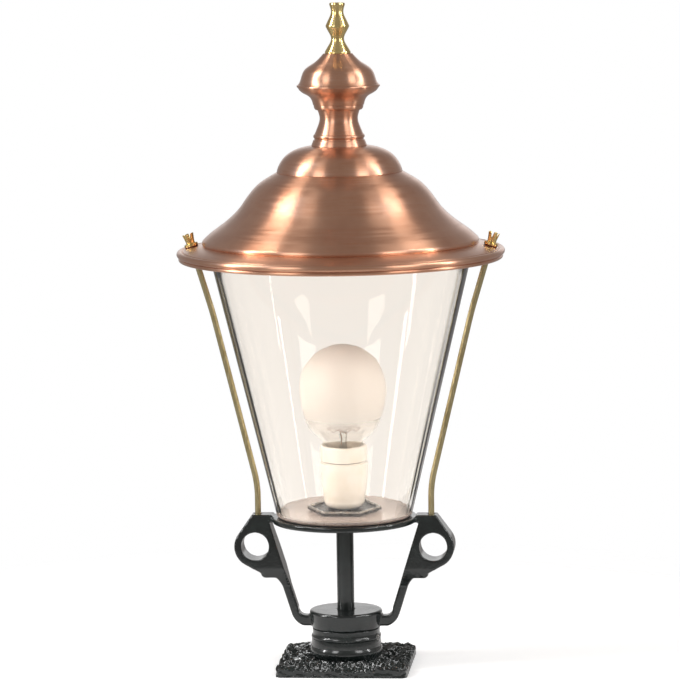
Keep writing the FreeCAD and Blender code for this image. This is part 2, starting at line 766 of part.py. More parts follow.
def bulb_stem():
    """The glass mount: a flare seated in the cap and a stem that carries the wires."""
    foot = bulb_mount_level
    disc = foot + bulb_mount_disc
    flare_top = foot + bulb_flare_height
    top = foot + bulb_stem_height
    flare_radius = bulb_cap_radius - bulb_cap_wall
    flare_middle = (bulb_stem_radius + 0.28 * (flare_radius - bulb_stem_radius),
                    disc + 0.27 * bulb_flare_height)
    shoulder = top - bulb_stem_radius
    slant = bulb_stem_radius * math.sqrt(0.5)
    edges = [
        arc((flare_radius, disc), flare_middle, (bulb_stem_radius, flare_top)),
        arc((bulb_stem_radius, shoulder), (slant, shoulder + slant), (0, top)),
        line((bulb_stem_radius, flare_top), (bulb_stem_radius, shoulder)),
    ]
    edges += chain([(0, top), (0, foot), (flare_radius, foot), (flare_radius, disc)])
    return turned(edges)


def bulb_filament():
    """A ring of wire on thin supports that stand on the glass stem."""
    foot = bulb_mount_level + bulb_stem_height
    level = foot + filament_rise
    wires = cylinder(2 * filament_wire_radius, foot, foot + 3 * filament_wire_radius)
    start = Vector(0, 0, foot + 2 * filament_wire_radius)
    for number in range(filament_supports):
        angle = 2.0 * math.pi * number / filament_supports
        end = Vector(filament_ring_radius * math.cos(angle), filament_ring_radius * math.sin(angle), level)
        support = Part.makeCylinder(0.8 * filament_wire_radius, (end - start).Length, start, end - start)
        wires = wires.fuse(support)
    return wires.fuse(Part.makeTorus(filament_ring_radius, filament_wire_radius, Vector(0, 0, level), UP))


# ---------------------------------------------------------------- hood

def brim_slot():
    """The right rod's hole, drawn out so that the inclined rod end leaves it as the hood lifts."""
    width = rod_radius + slot_clearance
    start = rod_nut_reach - slot_clearance
    end = rod_nut_reach + slot_clearance + rod_stand_out() * math.sin(rod_top_angle())
    slot = cylinder(width, 0, 2 * brim_top_level, start).fuse(cylinder(width, 0, 2 * brim_top_level, end))
    return slot.fuse(Part.makeBox(end - start, 2 * width, 2 * brim_top_level, Vector(start, -width, 0)))


def brim_ring():
    """Flat seat, slope, a round bead and a smaller lip, hollow underneath."""
    rim_inner = brim_bead_radius - brim_rim_inset
    under_corner_level = brim_under_level - brim_slope * (rim_inner - brim_flat_radius)
    bottom = brim_lip_level - brim_lip_size
    groove = (brim_lip_radius + 0.3 * brim_bead_size,
              (brim_bead_level - brim_bead_size + brim_lip_level + brim_lip_size) / 2.0)
    bead_start = (brim_slope_end_radius + 0.3 * brim_bead_size, brim_slope_end_level - 0.57 * brim_bead_size)
    edges = [
        arc(bead_start, (brim_bead_radius + brim_bead_size, brim_bead_level), groove),
        arc(groove, (brim_lip_radius + brim_lip_size, brim_lip_level), (brim_lip_radius, bottom)),
    ]
    edges += chain([
        (brim_lip_radius, bottom), (rim_inner, bottom), (rim_inner, under_corner_level),
        (brim_flat_radius, brim_under_level), (brim_inner_radius, brim_under_level),
        (brim_inner_radius, brim_top_level), (brim_flat_radius, brim_top_level),
        (brim_slope_end_radius, brim_slope_end_level), bead_start])
    slot = brim_slot()
    return turned(edges).cut(slot).cut(mirrored(slot))


def flat_topped_shell(side, top_level, foot_edges):
    """A spun shell: a smooth side under a flat top with the stud's hole, closed by foot_edges."""
    inner = inside(side, sheet)
    inner[0] = (inner[0][0], top_level - sheet)
    edges = [smooth(side).toShape(), smooth(inner).toShape()]
    edges += chain([inner[0], (stud_hole_radius, top_level - sheet), (stud_hole_radius, top_level), side[0]])
    return turned(edges + foot_edges(side[-1], inner[-1]))


def roof_bell():
    """An S-curved roof whose edge is turned down into a low rounded hem on the brim."""
    shares = ((0.0, 1.0), (0.11, 0.928), (0.231, 0.84), (0.337, 0.723), (0.42, 0.603), (0.499, 0.479),
              (0.603, 0.356), (0.744, 0.225), (0.91, 0.09), (1.0, 0.0))
    side = spread(shares, roof_top_radius, brim_top_level + roof_edge_rise,
                  roof_edge_radius - roof_top_radius, roof_height - roof_edge_rise)
    foot = brim_top_level
    bulge_radius = roof_hem_foot_radius + roof_hem_bulge
    bulge_level = foot + roof_edge_rise / 2.0

    def hem(outer_end, inner_end):
        return [arc(outer_end, (bulge_radius, bulge_level), (roof_hem_foot_radius, foot)),
                line((roof_hem_foot_radius, foot), (roof_hem_foot_radius - sheet, foot)),
                arc((roof_hem_foot_radius - sheet, foot), (bulge_radius - sheet, bulge_level), inner_end)]
    return flat_topped_shell(side, roof_top_level, hem)


def upper_dome():
    shares = ((0.0, 1.0), (0.21, 0.955), (0.5, 0.83), (0.75, 0.61), (0.885, 0.385), (0.97, 0.155), (1.0, 0.0))
    side = spread(shares, dome_top_radius, roof_top_level, dome_foot_radius - dome_top_radius, dome_height)

    def foot(outer_end, inner_end):
        return [line(outer_end, inner_end)]
    return flat_topped_shell(side, dome_top_level, foot)


def neck():
    """The waisted neck: a tapered foot, a groove, a bead, the waist and a band on top."""
    low = dome_top_level
    foot_top = low + neck_foot_height
    groove_top = foot_top + neck_groove_height
    bead_top = groove_top + neck_bead_height
    waist = low + neck_waist_rise
    band_low = neck_top_level - neck_band_height
    bead_radius = neck_foot_radius - neck_foot_taper
    groove_radius = bead_radius - neck_groove_depth
    side_low = (bead_radius - neck_bead_fall, bead_top)
    side_high = (neck_waist_radius + neck_throat_flare, band_low)
    bulge = (neck_waist_radius + 0.3 * (side_low[0] - neck_waist_radius), 0.4 * bead_top + 0.6 * waist)
    side = smooth([side_low, bulge, (neck_waist_radius, waist), side_high])
    band_foot = (neck_band_radius - 0.35 * neck_band_height, band_low)
    band_middle = (neck_band_radius - 0.07 * neck_band_height, band_low + 0.4 * neck_band_height)
    edges = [
        arc((groove_radius, groove_top), (bead_radius, (groove_top + bead_top) / 2.0), side_low),
        side.toShape(),
        line(side_high, band_foot),
        arc(band_foot, band_middle, (neck_band_radius, neck_top_level)),
    ]
    edges += chain([
        (neck_band_radius, neck_top_level), (stud_hole_radius, neck_top_level),
        (stud_hole_radius, neck_top_level - sheet), (neck_waist_radius - neck_wall, neck_top_level - sheet),
        (neck_waist_radius - neck_wall, low), (neck_foot_radius, low), (bead_radius, foot_top),
        (groove_radius, foot_top), (groove_radius, groove_top)])
    return turned(edges)


def cap_dish():
    """The dish under the cap, from the cap's rim in to the neck's band."""
    shares = ((1.0, 1.0), (0.9, 0.865), (0.57, 0.645), (0.29, 0.505), (0.13, 0.34), (0.05, 0.16), (0.0, 0.0))
    outer = spread(shares, dish_foot_radius, neck_top_level, dish_rim_radius - dish_foot_radius, dish_height)
    inner = [(radius - sheet, level + 0.6 * sheet) for radius, level in outer]
    inner[0] = (outer[0][0] - 1.6 * sheet, dish_top_level)
    inner[-1] = (outer[-1][0] - sheet, neck_top_level + sheet)
    edges = [smooth(outer).toShape(), smooth(inner).toShape(), line(outer[0], inner[0])]
    edges += chain([inner[-1], (stud_hole_radius, neck_top_level + sheet), (stud_hole_radius, neck_top_level),
                    outer[-1]])
    return turned(edges)


def cap_dome():
    """The cap: a hollow sweep under the finial, a round shoulder and a rolled lip."""
    shares = ((0.0, 1.0), (0.148, 0.865), (0.329, 0.73), (0.575, 0.597), (0.75, 0.468), (0.862, 0.265),
              (0.945, 0.07), (1.0, 0.0))
    lip_top = dish_top_level + cap_lip_height
    side = spread(shares, cap_top_radius, lip_top, cap_lip_radius - cap_lip_roll - cap_top_radius,
                  cap_height - cap_lip_height)
    lip_foot = (cap_lip_radius - 0.57 * cap_lip_roll, dish_top_level)

    def rolled_lip(outer_end, inner_end):
        seat = (inner_end[0] - 0.3 * sheet, dish_top_level)
        return [arc(outer_end, (cap_lip_radius, dish_top_level + cap_lip_height / 2.0), lip_foot)] + chain(
            [lip_foot, seat, inner_end])
    return flat_topped_shell(side, cap_top_level, rolled_lip)


def finial():
    """A turned finial: a flared base, a waist, an urn with a sharp ridge, and a small cup."""
    low = cap_top_level
    height = finial_height
    ridge_middle = low + 0.545 * height
    ridge_low = (finial_ridge_radius - 0.3, ridge_middle - finial_ridge_height / 2.0)
    ridge_high = (finial_ridge_radius - 0.4, ridge_middle + finial_ridge_height / 2.0)
    base = (finial_base_radius, low + finial_foot_height)
    cup = (finial_cup_radius, low + 0.965 * height)
    lower = smooth([base, (0.5 * finial_base_radius + 0.47 * finial_waist_radius, low + 0.15 * height),
                    (finial_waist_radius, low + 0.295 * height),
                    (0.5 * (finial_ridge_radius + finial_waist_radius), low + 0.43 * height), ridge_low])
    upper = smooth([ridge_high, (0.5 * (finial_ridge_radius + finial_neck_radius), low + 0.67 * height),
                    (finial_neck_radius, low + 0.815 * height), cup])
    cup_inner = finial_cup_radius - finial_cup_wall
    cup_floor = finial_top_level - finial_cup_depth
    ridge = arc(ridge_low, (finial_ridge_radius, ridge_middle), ridge_high)
    edges = [lower.toShape(), ridge, upper.toShape()]
    edges += chain([
        cup, (finial_cup_radius - 0.3, finial_top_level), (cup_inner, finial_top_level),
        (cup_inner - 0.5, cup_floor), (0, cup_floor), (0, low + stud_in_finial),
        (stud_radius, low + stud_in_finial), (stud_radius, low), (finial_base_radius, low), base])
    return turned(edges)


def hood_stud():
    low = stud_washer_level - stud_nut_height - stud_tail
    return cylinder(stud_radius, low, cap_top_level + stud_in_finial)


def hood_washer():
    outer = stud_hole_radius + stud_washer_width
    return tube(stud_hole_radius, outer, stud_washer_level, roof_top_level - sheet)


def hood_nut():
    low = stud_washer_level - stud_nut_height
    nut = hexagon((stud_radius + stud_nut_wall) * 2.0 / math.sqrt(3.0), low, stud_washer_level)
    return nut.cut(cylinder(stud_radius, low, stud_washer_level))


# ---------------------------------------------------------------- rods and crown nuts

def rod_top_angle():
    """The rod's lean at its top: square to the brim's slope."""
    return math.atan(brim_slope)


def rod_top_direction():
    return Vector(math.sin(rod_top_angle()), 0, math.cos(rod_top_angle()))


def nut_seat():
    """Where the rod's axis comes out of the brim's upper face."""
    return at(rod_nut_reach, brim_top_level - brim_slope * rod_nut_offset)


def rod_stand_out():
    return washer_seat_gap + 2 * washer_thickness + rod_thread_engaged


def rounded_path(points, radii):
    """Straight runs through the points, with an arc of the given radius at each inner point."""
    edges = []
    start = points[0]
    for number, radius in enumerate(radii):
        corner = points[number + 1]
        back = (points[number] - corner).normalize()
        ahead = (points[number + 2] - corner).normalize()
        half_turn = (math.pi - back.getAngle(ahead)) / 2.0
        trim = radius * math.tan(half_turn)
        middle = (back + ahead).normalize() * (radius / math.cos(half_turn) - radius)
        edges.append(Part.makeLine(start, corner + back * trim))
        edges.append(Part.Arc(corner + back * trim, corner + middle, corner + ahead * trim).toShape())
        start = corner + ahead * trim
    edges.append(Part.makeLine(start, points[-1]))
    return Part.Wire(edges)


def right_rod():
    """Upright in the arm's socket, then leaning out beside the shade and a little more at the top."""
    foot = at(rod_foot_reach, arm_top_level - rod_socket_depth)
    lower_bend = at(rod_foot_reach, arm_top_level + rod_lower_bend_rise)
    upper_bend = nut_seat() - rod_top_direction() * rod_top_run
    end = nut_seat() + rod_top_direction() * rod_stand_out()
    path = rounded_path([foot, lower_bend, upper_bend, end], [rod_lower_bend_radius, rod_upper_bend_radius])
    section = Part.Wire(Part.makeCircle(rod_radius, foot, UP))
    return path.makePipeShell([section], True, False)


def on_rod(shape, height):
    """Stands a shape, made upright on the origin, on the right rod's axis at a height over the brim."""
    placed = shape.copy()
    turn = FreeCAD.Rotation(UP, rod_top_direction())
    placed.Placement = FreeCAD.Placement(nut_seat() + rod_top_direction() * height, turn)
    return placed


def washer(width, height):
    return on_rod(tube(washer_hole_radius, washer_hole_radius + width, 0, washer_thickness), height)


def crown_nut():
    """A round brass nut on a flange, whose flared cup is notched into points."""
    flange_radius = nut_waist_radius + nut_flange_width
    waist = (nut_waist_radius, nut_flange_height + nut_flange_fall)
    cup_floor = (nut_thread_radius + nut_cup_floor_step, nut_body_height)
    mouth = (nut_mouth_radius, nut_height)
    edges = [arc(waist, (nut_waist_radius + 0.25 * nut_mouth_flare, 0.45 * nut_height), mouth)]
    edges += chain([
        mouth, (nut_mouth_radius - nut_cup_wall, nut_height), cup_floor,
        (nut_thread_radius, nut_body_height), (nut_thread_radius, 0), (flange_radius, 0),
        (flange_radius, nut_flange_height), waist])
    nut = turned(edges)
    half_width = nut_mouth_radius * math.tan(nut_notch_share * math.pi / nut_notches)
    floor_half = nut_notch_floor * half_width
    over = nut_height + nut_cup_wall
    for number in range(nut_notches):
        side = [Vector(0, floor_half, nut_body_height), Vector(0, half_width, over),
                Vector(0, -half_width, over), Vector(0, -floor_half, nut_body_height),
                Vector(0, floor_half, nut_body_height)]
        notch = Part.Face(Part.makePolygon(side)).extrude(Vector(2 * nut_mouth_radius, 0, 0))
        notch.rotate(CENTRE, UP, 360.0 * (number + 0.5) / nut_notches)
        nut = nut.cut(notch)
    return on_rod(nut, washer_seat_gap + 2 * washer_thickness)


# ---------------------------------------------------------------- the whole lantern

def both_sides(name, right_shape):
    return {name + "_right": right_shape, name + "_left": mirrored(right_shape)}


def all_pieces():
    pieces = {
        "foot_plate": foot_plate(),
        "post_socket": post_socket(),
        "socket_screws": socket_screws(),
        "cradle_hub": cradle_hub(),
        "cradle_ring": cradle_ring(),
        "stem_tube": stem_tube(),
        "hub_locknut": stem_nut(hub_ceiling_level - locknut_height),
        "clamp_locknut": stem_nut(clamp_disc_level - locknut_height),
        "clamp_disc": clamp_disc(),
        "clamp_pad": clamp_pad(),
        "shade_gasket": shade_gasket(),
        "glass_shade": glass_shade(),
        "shade_seal": shade_seal(),
        "hex_pad": hex_pad(),
        "hex_plate": hex_plate(),
        "holder_locknut": stem_nut(hex_floor_level),
        "lampholder_body": lampholder_body(),
        "lampholder_ring": lampholder_ring(),
        "contact_block": contact_block(),
        "centre_contact": centre_contact(),
        "screw_shell": screw_shell(),
        "bulb_globe": bulb_globe(),
        "bulb_cap": bulb_cap(),
        "bulb_contact": bulb_contact(),
        "bulb_stem": bulb_stem(),
        "bulb_filament": bulb_filament(),
        "brim_ring": brim_ring(),
        "roof_bell": roof_bell(),
        "upper_dome": upper_dome(),
        "neck": neck(),
        "cap_dish": cap_dish(),
        "cap_dome": cap_dome(),
        "finial": finial(),
        "hood_stud": hood_stud(),
        "hood_washer": hood_washer(),
        "hood_nut": hood_nut(),
    }
    pieces.update(both_sides("cradle_arm", right_arm()))
    pieces.update(both_sides("tie_rod", right_rod()))
    pieces.update(both_sides("fibre_washer", washer(fibre_washer_width, washer_seat_gap)))
    pieces.update(both_sides("nut_washer", washer(nut_washer_width, washer_seat_gap + washer_thickness)))
    pieces.update(both_sides("crown_nut", crown_nut()))
    return pieces


os.makedirs("parts", exist_ok=True)
for node, shape in all_pieces().items():
    shape.exportStep("parts/" + node + ".step")
    print(node, len(shape.Solids), "valid" if shape.isValid() else "INVALID", round(shape.Volume, 1))
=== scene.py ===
import math

import bpy
import numpy as np
from bpy.props import FloatProperty, FloatVectorProperty, IntProperty, PointerProperty
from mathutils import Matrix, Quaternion, Vector


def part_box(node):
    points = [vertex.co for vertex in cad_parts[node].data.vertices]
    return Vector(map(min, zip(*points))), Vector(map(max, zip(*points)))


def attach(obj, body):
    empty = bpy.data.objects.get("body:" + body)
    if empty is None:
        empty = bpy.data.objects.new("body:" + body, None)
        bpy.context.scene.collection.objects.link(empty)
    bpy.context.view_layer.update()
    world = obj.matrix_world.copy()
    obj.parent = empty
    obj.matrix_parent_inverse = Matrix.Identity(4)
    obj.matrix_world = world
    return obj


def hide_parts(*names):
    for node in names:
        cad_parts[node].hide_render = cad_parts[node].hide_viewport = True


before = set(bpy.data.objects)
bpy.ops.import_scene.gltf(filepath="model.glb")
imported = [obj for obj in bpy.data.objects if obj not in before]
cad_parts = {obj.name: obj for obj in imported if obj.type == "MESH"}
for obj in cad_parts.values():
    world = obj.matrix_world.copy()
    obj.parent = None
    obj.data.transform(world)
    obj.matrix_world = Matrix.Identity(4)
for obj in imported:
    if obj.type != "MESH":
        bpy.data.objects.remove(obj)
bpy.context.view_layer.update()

bl_info = {
    "name": "Post Top Lantern",
    "version": (1, 0, 0),
    "blender": (4, 5, 0),
    "location": "3D View > Sidebar > Lantern",
    "description": "Builds a copper-hooded glass lantern on a cast cradle around its fixed frame",
    "category": "Add Mesh",
}

MM = 0.001
TURN = 2.0 * math.pi
SHARP = 38.0                              # edges over this many degrees stay sharp
SLOPE = 0.3                               # fall of the brim for each step outwards
LEAN = math.atan(SLOPE)                   # the rods stand square to the brim
SEAT = np.array([149.55, 0.0, 424.81])    # where the right rod's line meets the top of the brim
OUTWARDS = np.array([math.sin(LEAN), 0.0, math.cos(LEAN)])


def linear(code):
    """An sRGB hex colour as linear red, green and blue, with alpha 1."""
    parts = [int(code[i:i + 2], 16) / 255.0 for i in (1, 3, 5)]
    return tuple(p / 12.92 if p <= 0.04045 else ((p + 0.055) / 1.055) ** 2.4 for p in parts) + (1.0,)


def foot(node):
    """A node's lowest height in millimetres."""
    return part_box(node)[0].z / MM


def top(node):
    """A node's greatest height in millimetres."""
    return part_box(node)[1].z / MM


def reach(node):
    """How far a node goes out along X in millimetres."""
    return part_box(node)[1].x / MM


# ---------------------------------------------------------------- sizes and colours


def length(name, text, value):
    """A length setting, from millimetres."""
    return FloatProperty(name=name, description=text, default=value * MM, min=0.0, unit="LENGTH",
                         precision=5)


def degrees(name, text, value):
    """An angle setting, from degrees."""
    return FloatProperty(name=name, description=text, default=math.radians(value), subtype="ANGLE")


def colour(name, text, code):
    """A colour setting, from a hex code."""
    return FloatVectorProperty(name=name, description=text, default=linear(code), size=4, min=0.0, max=1.0,
                               subtype="COLOR")


class LanternHood(bpy.types.PropertyGroup):
    """The spun copper hood and its finial."""
    sheet: length("Sheet", "Thickness of the copper sheet", 1.2)
    edge: length("Edge", "Rounding of a sheet edge", 0.45)
    copper: colour("Copper", "Spun copper under its tarnish", "#DA9E7B")
    tarnish: colour("Tarnish", "Where the copper has darkened", "#C27F5B")
    brass: colour("Brass", "Turned and polished brass", "#F0D898")


class LanternShade(bpy.types.PropertyGroup):
    """The glass shade and what seals it."""
    glass: colour("Glass", "Tint of the shade's glass", "#FCF8F3")
    rubber: colour("Rubber", "Seal, gasket and pads", "#1B1A1A")
    floor_haze: colour("Floor haze", "Milky floor of the glass", "#DCCBC1")
    edge_wave: length("Edge wave", "Unevenness of the fire-polished lower edge", 0.3)


class LanternLight(bpy.types.PropertyGroup):
    """The lampholder and its bulb."""
    porcelain: colour("Porcelain", "Glazed porcelain", "#EFE8DE")
    frost: colour("Frost", "Etched glass of the bulb", "#F8F3EE")
    frost_foot: length("Frost foot", "Height where the frosting fades", 251.0)
    thread_depth: length("Thread depth", "Depth of the rolled screw thread", 0.75)


class LanternCasting(bpy.types.PropertyGroup):
    """The cradle, socket, stem and foot plate."""
    paint: colour("Paint", "Dark green-black gloss paint", "#0D1413")
    relief: length("Relief", "Height of the rough top of the foot plate", 5.4)
    relief_size: length("Relief size", "Width of one lump of the rough top", 11.0)
    voxel: length("Voxel", "Grid that the casting is rounded on", 0.95)


class LanternRods(bpy.types.PropertyGroup):
    """The tie rods and their crown nuts."""
    rod_brass: colour("Rod brass", "Drawn brass, dulled by weather", "#C6B88C")
    crown_points: IntProperty(name="Crown points", description="Points round a crown nut", default=5, min=3)


class LanternView(bpy.types.PropertyGroup):
    """The camera's place, as for the photograph."""
    azimuth: degrees("Azimuth", "Camera's angle round the lantern", 5.5)
    elevation: degrees("Elevation", "Camera's angle over the horizon", 7.27)
    roll: degrees("Roll", "Camera's turn about its own axis", -0.85)
    distance: length("Distance", "Camera to the aim point", 4000.0)
    height: length("Aim height", "Height of the aim point", 330.6)
    side: length("Aim offset", "Aim point to the left of the axis", 2.0)


# ---------------------------------------------------------------- surfaces


def turns(steps):
    """The angles of that many equal steps once round."""
    return np.arange(steps) * TURN / steps


def spline(points, count=40):
    """A smooth curve through the points: piecewise cubics over chord length whose second derivatives,
    found from one tridiagonal set of equations, join without a step and vanish at the ends."""
    p = np.asarray(points, float)
    h = np.linalg.norm(np.diff(p, axis=0), axis=1)
    t = np.concatenate([[0.0], np.cumsum(h)])
    n = len(p)
    a = np.eye(n)
    b = np.zeros_like(p)
    i = np.arange(1, n - 1)
    a[i, i - 1], a[i, i], a[i, i + 1] = h[:-1], 2.0 * (h[:-1] + h[1:]), h[1:]
    b[1:-1] = 6.0 * (np.diff(p, axis=0)[1:] / h[1:, None] - np.diff(p, axis=0)[:-1] / h[:-1, None])
    m = np.linalg.solve(a, b)
    s = np.linspace(0.0, t[-1], count)
    k = np.clip(np.searchsorted(t, s, side="right") - 1, 0, n - 2)
    u, v, w = (t[k + 1] - s)[:, None], (s - t[k])[:, None], h[k][:, None]
    return (m[k] * u ** 3 + m[k + 1] * v ** 3) / (6.0 * w) \
        + (p[k] / w - m[k] * w / 6.0) * u + (p[k + 1] / w - m[k + 1] * w / 6.0) * v


def arc(start, middle, end, count=13):
    """Points of the circle through three points: its centre solves two chord equations."""
    a, b, c = (np.asarray(q, float) for q in (start, middle, end))
    rows = 2.0 * np.array([b - a, c - a])
    centre = np.linalg.solve(rows, [b @ b - a @ a, c @ c - a @ a])
    angles = np.arctan2(*(np.array([a, b, c]) - centre)[:, ::-1].T)
    to_end = (angles[2] - angles[0]) % TURN
    to_middle = (angles[1] - angles[0]) % TURN
    sweep = to_end if to_middle < to_end else to_end - TURN
    s = angles[0] + np.linspace(0.0, sweep, count)
    return centre + np.linalg.norm(a - centre) * np.stack([np.cos(s), np.sin(s)], 1)


def joined(*runs):
    """One outline from points and runs of points, without repeats."""
    line = np.concatenate([np.atleast_2d(np.asarray(r, float)) for r in runs])
    keep = np.linalg.norm(np.diff(line, axis=0), axis=1) > 1e-6
    return line[np.concatenate([[True], keep])]


def softened(outline, rounding, closed=True, sharp=22.0, steps=5):
    """The outline with each corner over the sharp angle replaced by a parabola that touches both sides."""
    p = np.asarray(outline, float)
    if closed and np.linalg.norm(p[0] - p[-1]) < 1e-6:
        p = p[:-1]
    before, after = np.roll(p, 1, 0) - p, np.roll(p, -1, 0) - p
    back, ahead = (np.linalg.norm(q, axis=1) for q in (before, after))
    cosine = -(before * after).sum(1) / (back * ahead)
    turn = np.arccos(np.clip(cosine, -1.0, 1.0))
    trim = np.minimum(rounding * np.tan(turn / 2.0), 0.45 * np.minimum(back, ahead))
    trim[turn < math.radians(sharp)] = 0.0
    if not closed:
        trim[[0, -1]] = 0.0
    a = p + before / back[:, None] * trim[:, None]
    b = p + after / ahead[:, None] * trim[:, None]
    t = np.linspace(0.0, 1.0, steps)[None, :, None]
    curve = a[:, None] * (1 - t) ** 2 + 2 * p[:, None] * t * (1 - t) + b[:, None] * t ** 2
    return joined(curve.reshape(-1, 2))


def walled(side, wall):
    """A closed outline of constant thickness: the side and itself moved along its mean normals."""
    p = np.asarray(side, float)
    run = np.diff(p, axis=0)
    run /= np.linalg.norm(run, axis=1)[:, None]
    before, after = np.vstack([run[:1], run]), np.vstack([run, run[-1:]])
    mean = before + after
    mean /= np.linalg.norm(mean, axis=1)[:, None]
    normal = np.stack([-mean[:, 1], mean[:, 0]], 1)
    shrink = np.clip((mean * before).sum(1), 0.5, 1.0)[:, None]
    return joined(p, (p - normal * wall / shrink)[::-1])


def grid_faces(rows, columns, rows_meet, columns_meet):
    """Quads of a grid of points that is counted row by row."""
    r, c = np.meshgrid(np.arange(rows if rows_meet else rows - 1),
                       np.arange(columns if columns_meet else columns - 1), indexing="ij")
    r1, c1 = (r + 1) % rows, (c + 1) % columns
    corners = [r * columns + c, r1 * columns + c, r1 * columns + c1, r * columns + c1]
    return np.stack(corners, -1).reshape(-1, 4)


def mesh_from(name, points, quads, tris=(), sharp=SHARP):
    """A mesh of quads and triangles from points in millimetres, smooth but for edges over the sharp
    angle."""
    quads, tris = np.asarray(quads, int).reshape(-1, 4), np.asarray(tris, int).reshape(-1, 3)
    mesh = bpy.data.meshes.new(name)
    mesh.vertices.add(len(points))
    mesh.vertices.foreach_set("co", (np.asarray(points, float) * MM).ravel().astype(np.float32))
    corners = np.concatenate([quads.ravel(), tris.ravel()]).astype(np.int32)
    starts = np.concatenate([np.arange(len(quads)) * 4, len(quads) * 4 + np.arange(len(tris)) * 3])
    mesh.loops.add(len(corners))
    mesh.loops.foreach_set("vertex_index", corners)
    mesh.polygons.add(len(starts))
    mesh.polygons.foreach_set("loop_start", starts.astype(np.int32))
    mesh.update(calc_edges=True)
    mesh.validate()
    mesh.shade_smooth()
    mesh.set_sharp_from_angle(angle=math.radians(sharp))
    return mesh


def coordinates(mesh):
    """A mesh's points in metres, one to a row."""
    flat = np.empty(len(mesh.vertices) * 3, np.float32)
    mesh.vertices.foreach_get("co", flat)
    return flat.reshape(-1, 3)


def ringed(name, radii, heights, sharp):
    """A closed band round the axis. Each row of radii and heights is its section at one step of the turn,
    or the heights are one row for them all."""
    angle = turns(len(radii))[:, None]
    heights = np.broadcast_to(heights, radii.shape)
    points = np.stack([radii * np.cos(angle), radii * np.sin(angle), heights], -1)
    return mesh_from(name, points.reshape(-1, 3), grid_faces(*radii.shape, True, True), sharp=sharp)


def turned(name, outline, steps=160, shape=None):
    """A surface of revolution: the outline's radius and height at each angle. shape may then move the
    grid of points. An outline that starts and ends on the axis gets a pole at each end."""
    p = np.asarray(outline, float)
    if np.linalg.norm(p[0] - p[-1]) < 1e-6:
        p = p[:-1]
    q = np.roll(p, -1, 0)
    if (p[:, 0] * q[:, 1] - q[:, 0] * p[:, 1]).sum() < 0:
        p = p[::-1]
    on_axis = np.flatnonzero(p[:, 0] < 1e-6)
    if len(on_axis):
        p = np.roll(p, -on_axis[0], 0) if on_axis[0] + 1 in on_axis else np.roll(p, -on_axis[-1], 0)
        p = np.vstack([p[p[:, 0] < 1e-6][:1], p[p[:, 0] >= 1e-6], p[p[:, 0] < 1e-6][-1:]])
        if p[1, 1] != p[0, 1] and abs(p[1, 1] - p[-1, 1]) < abs(p[1, 1] - p[0, 1]):
            p[[0, -1]] = p[[-1, 0]]
    ring = p[1:-1] if len(on_axis) else p
    a, r = np.meshgrid(turns(steps), ring[:, 0], indexing="ij")
    z = np.broadcast_to(ring[:, 1], a.shape)
    points = np.stack([r * np.cos(a), r * np.sin(a), z], -1)
    if shape is not None:
        points = shape(points, a)
    count = points.shape[1]
    quads = grid_faces(steps, count, True, not len(on_axis))
    flat = points.reshape(-1, 3)
    if not len(on_axis):
        return mesh_from(name, flat, quads)
    here = np.arange(steps) * count
    ahead = np.roll(here, -1)
    low, high = len(flat), len(flat) + 1
    tris = np.vstack([np.stack([np.full(steps, low), ahead, here], 1),
                      np.stack([here + count - 1, ahead + count - 1, np.full(steps, high)], 1)])
    flat = np.vstack([flat, [0, 0, p[0, 1]], [0, 0, p[-1, 1]]])
    return mesh_from(name, flat, quads, tris)


def swept(name, path, radius, steps, sharp=SHARP):
    """A round bar: circles square to a path, on frames turned by the least amount from one point to the
    next. Both ends are closed. Its path lies in one plane or bends gently."""
    p = np.asarray(path, float)
    along = np.gradient(p, axis=0)
    along /= np.linalg.norm(along, axis=1)[:, None]
    across = np.cross(along, [0.0, 1.0, 0.0])
    thin = np.linalg.norm(across, axis=1) < 0.2
    across[thin] = np.cross(along[thin], [1.0, 0.0, 0.0])
    across /= np.linalg.norm(across, axis=1)[:, None]
    beside = np.cross(along, across)
    a = turns(steps)[None, :, None]
    points = p[:, None] + radius * (np.cos(a) * across[:, None] + np.sin(a) * beside[:, None])
    low, high = len(p) * steps, len(p) * steps + 1
    ring = np.arange(steps)
    last = (len(p) - 1) * steps
    tris = np.vstack([np.stack([np.full(steps, low), ring, np.roll(ring, -1)], 1),
                      np.stack([last + ring, last + np.roll(ring, -1), np.full(steps, high)], 1)])
    flat = np.vstack([points.reshape(-1, 3), p[:1], p[-1:]])
    return mesh_from(name, flat, grid_faces(len(p), steps, False, True), tris, sharp=sharp)


def noise2(x, y, seed):
    """Gradient noise on a plane: at each corner of a unit grid a fixed random slope, faded by a quintic."""
    table = np.random.default_rng(seed).uniform(0.0, TURN, (64, 64))
    xi, yi = np.floor(x).astype(int), np.floor(y).astype(int)
    xf, yf = x - xi, y - yi
    u, v = (f ** 3 * (f * (f * 6 - 15) + 10) for f in (xf, yf))

    def corner(dx, dy):
        angle = table[(xi + dx) % 64, (yi + dy) % 64]
        return np.cos(angle) * (xf - dx) + np.sin(angle) * (yf - dy)
    low = corner(0, 0) * (1 - u) + corner(1, 0) * u
    high = corner(0, 1) * (1 - u) + corner(1, 1) * u
    return (low * (1 - v) + high * v) * 1.4


# ---------------------------------------------------------------- pieces


def thing(name, data):
    """A new object in the scene."""
    made = bpy.data.objects.new(name, data)
    bpy.context.scene.collection.objects.link(made)
    return made


def place(name, mesh, body, replaced, material):
    """Puts a finished mesh in the scene on its body, in place of CAD nodes."""
    piece = thing(name, mesh)
    mesh.materials.clear()
    mesh.materials.append(material)
    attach(piece, body)
    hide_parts(*replaced)


def dress(node, material):
    """A CAD node whose shape is right gets its finish."""
    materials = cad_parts[node].data.materials
    materials.clear()
    materials.append(material)


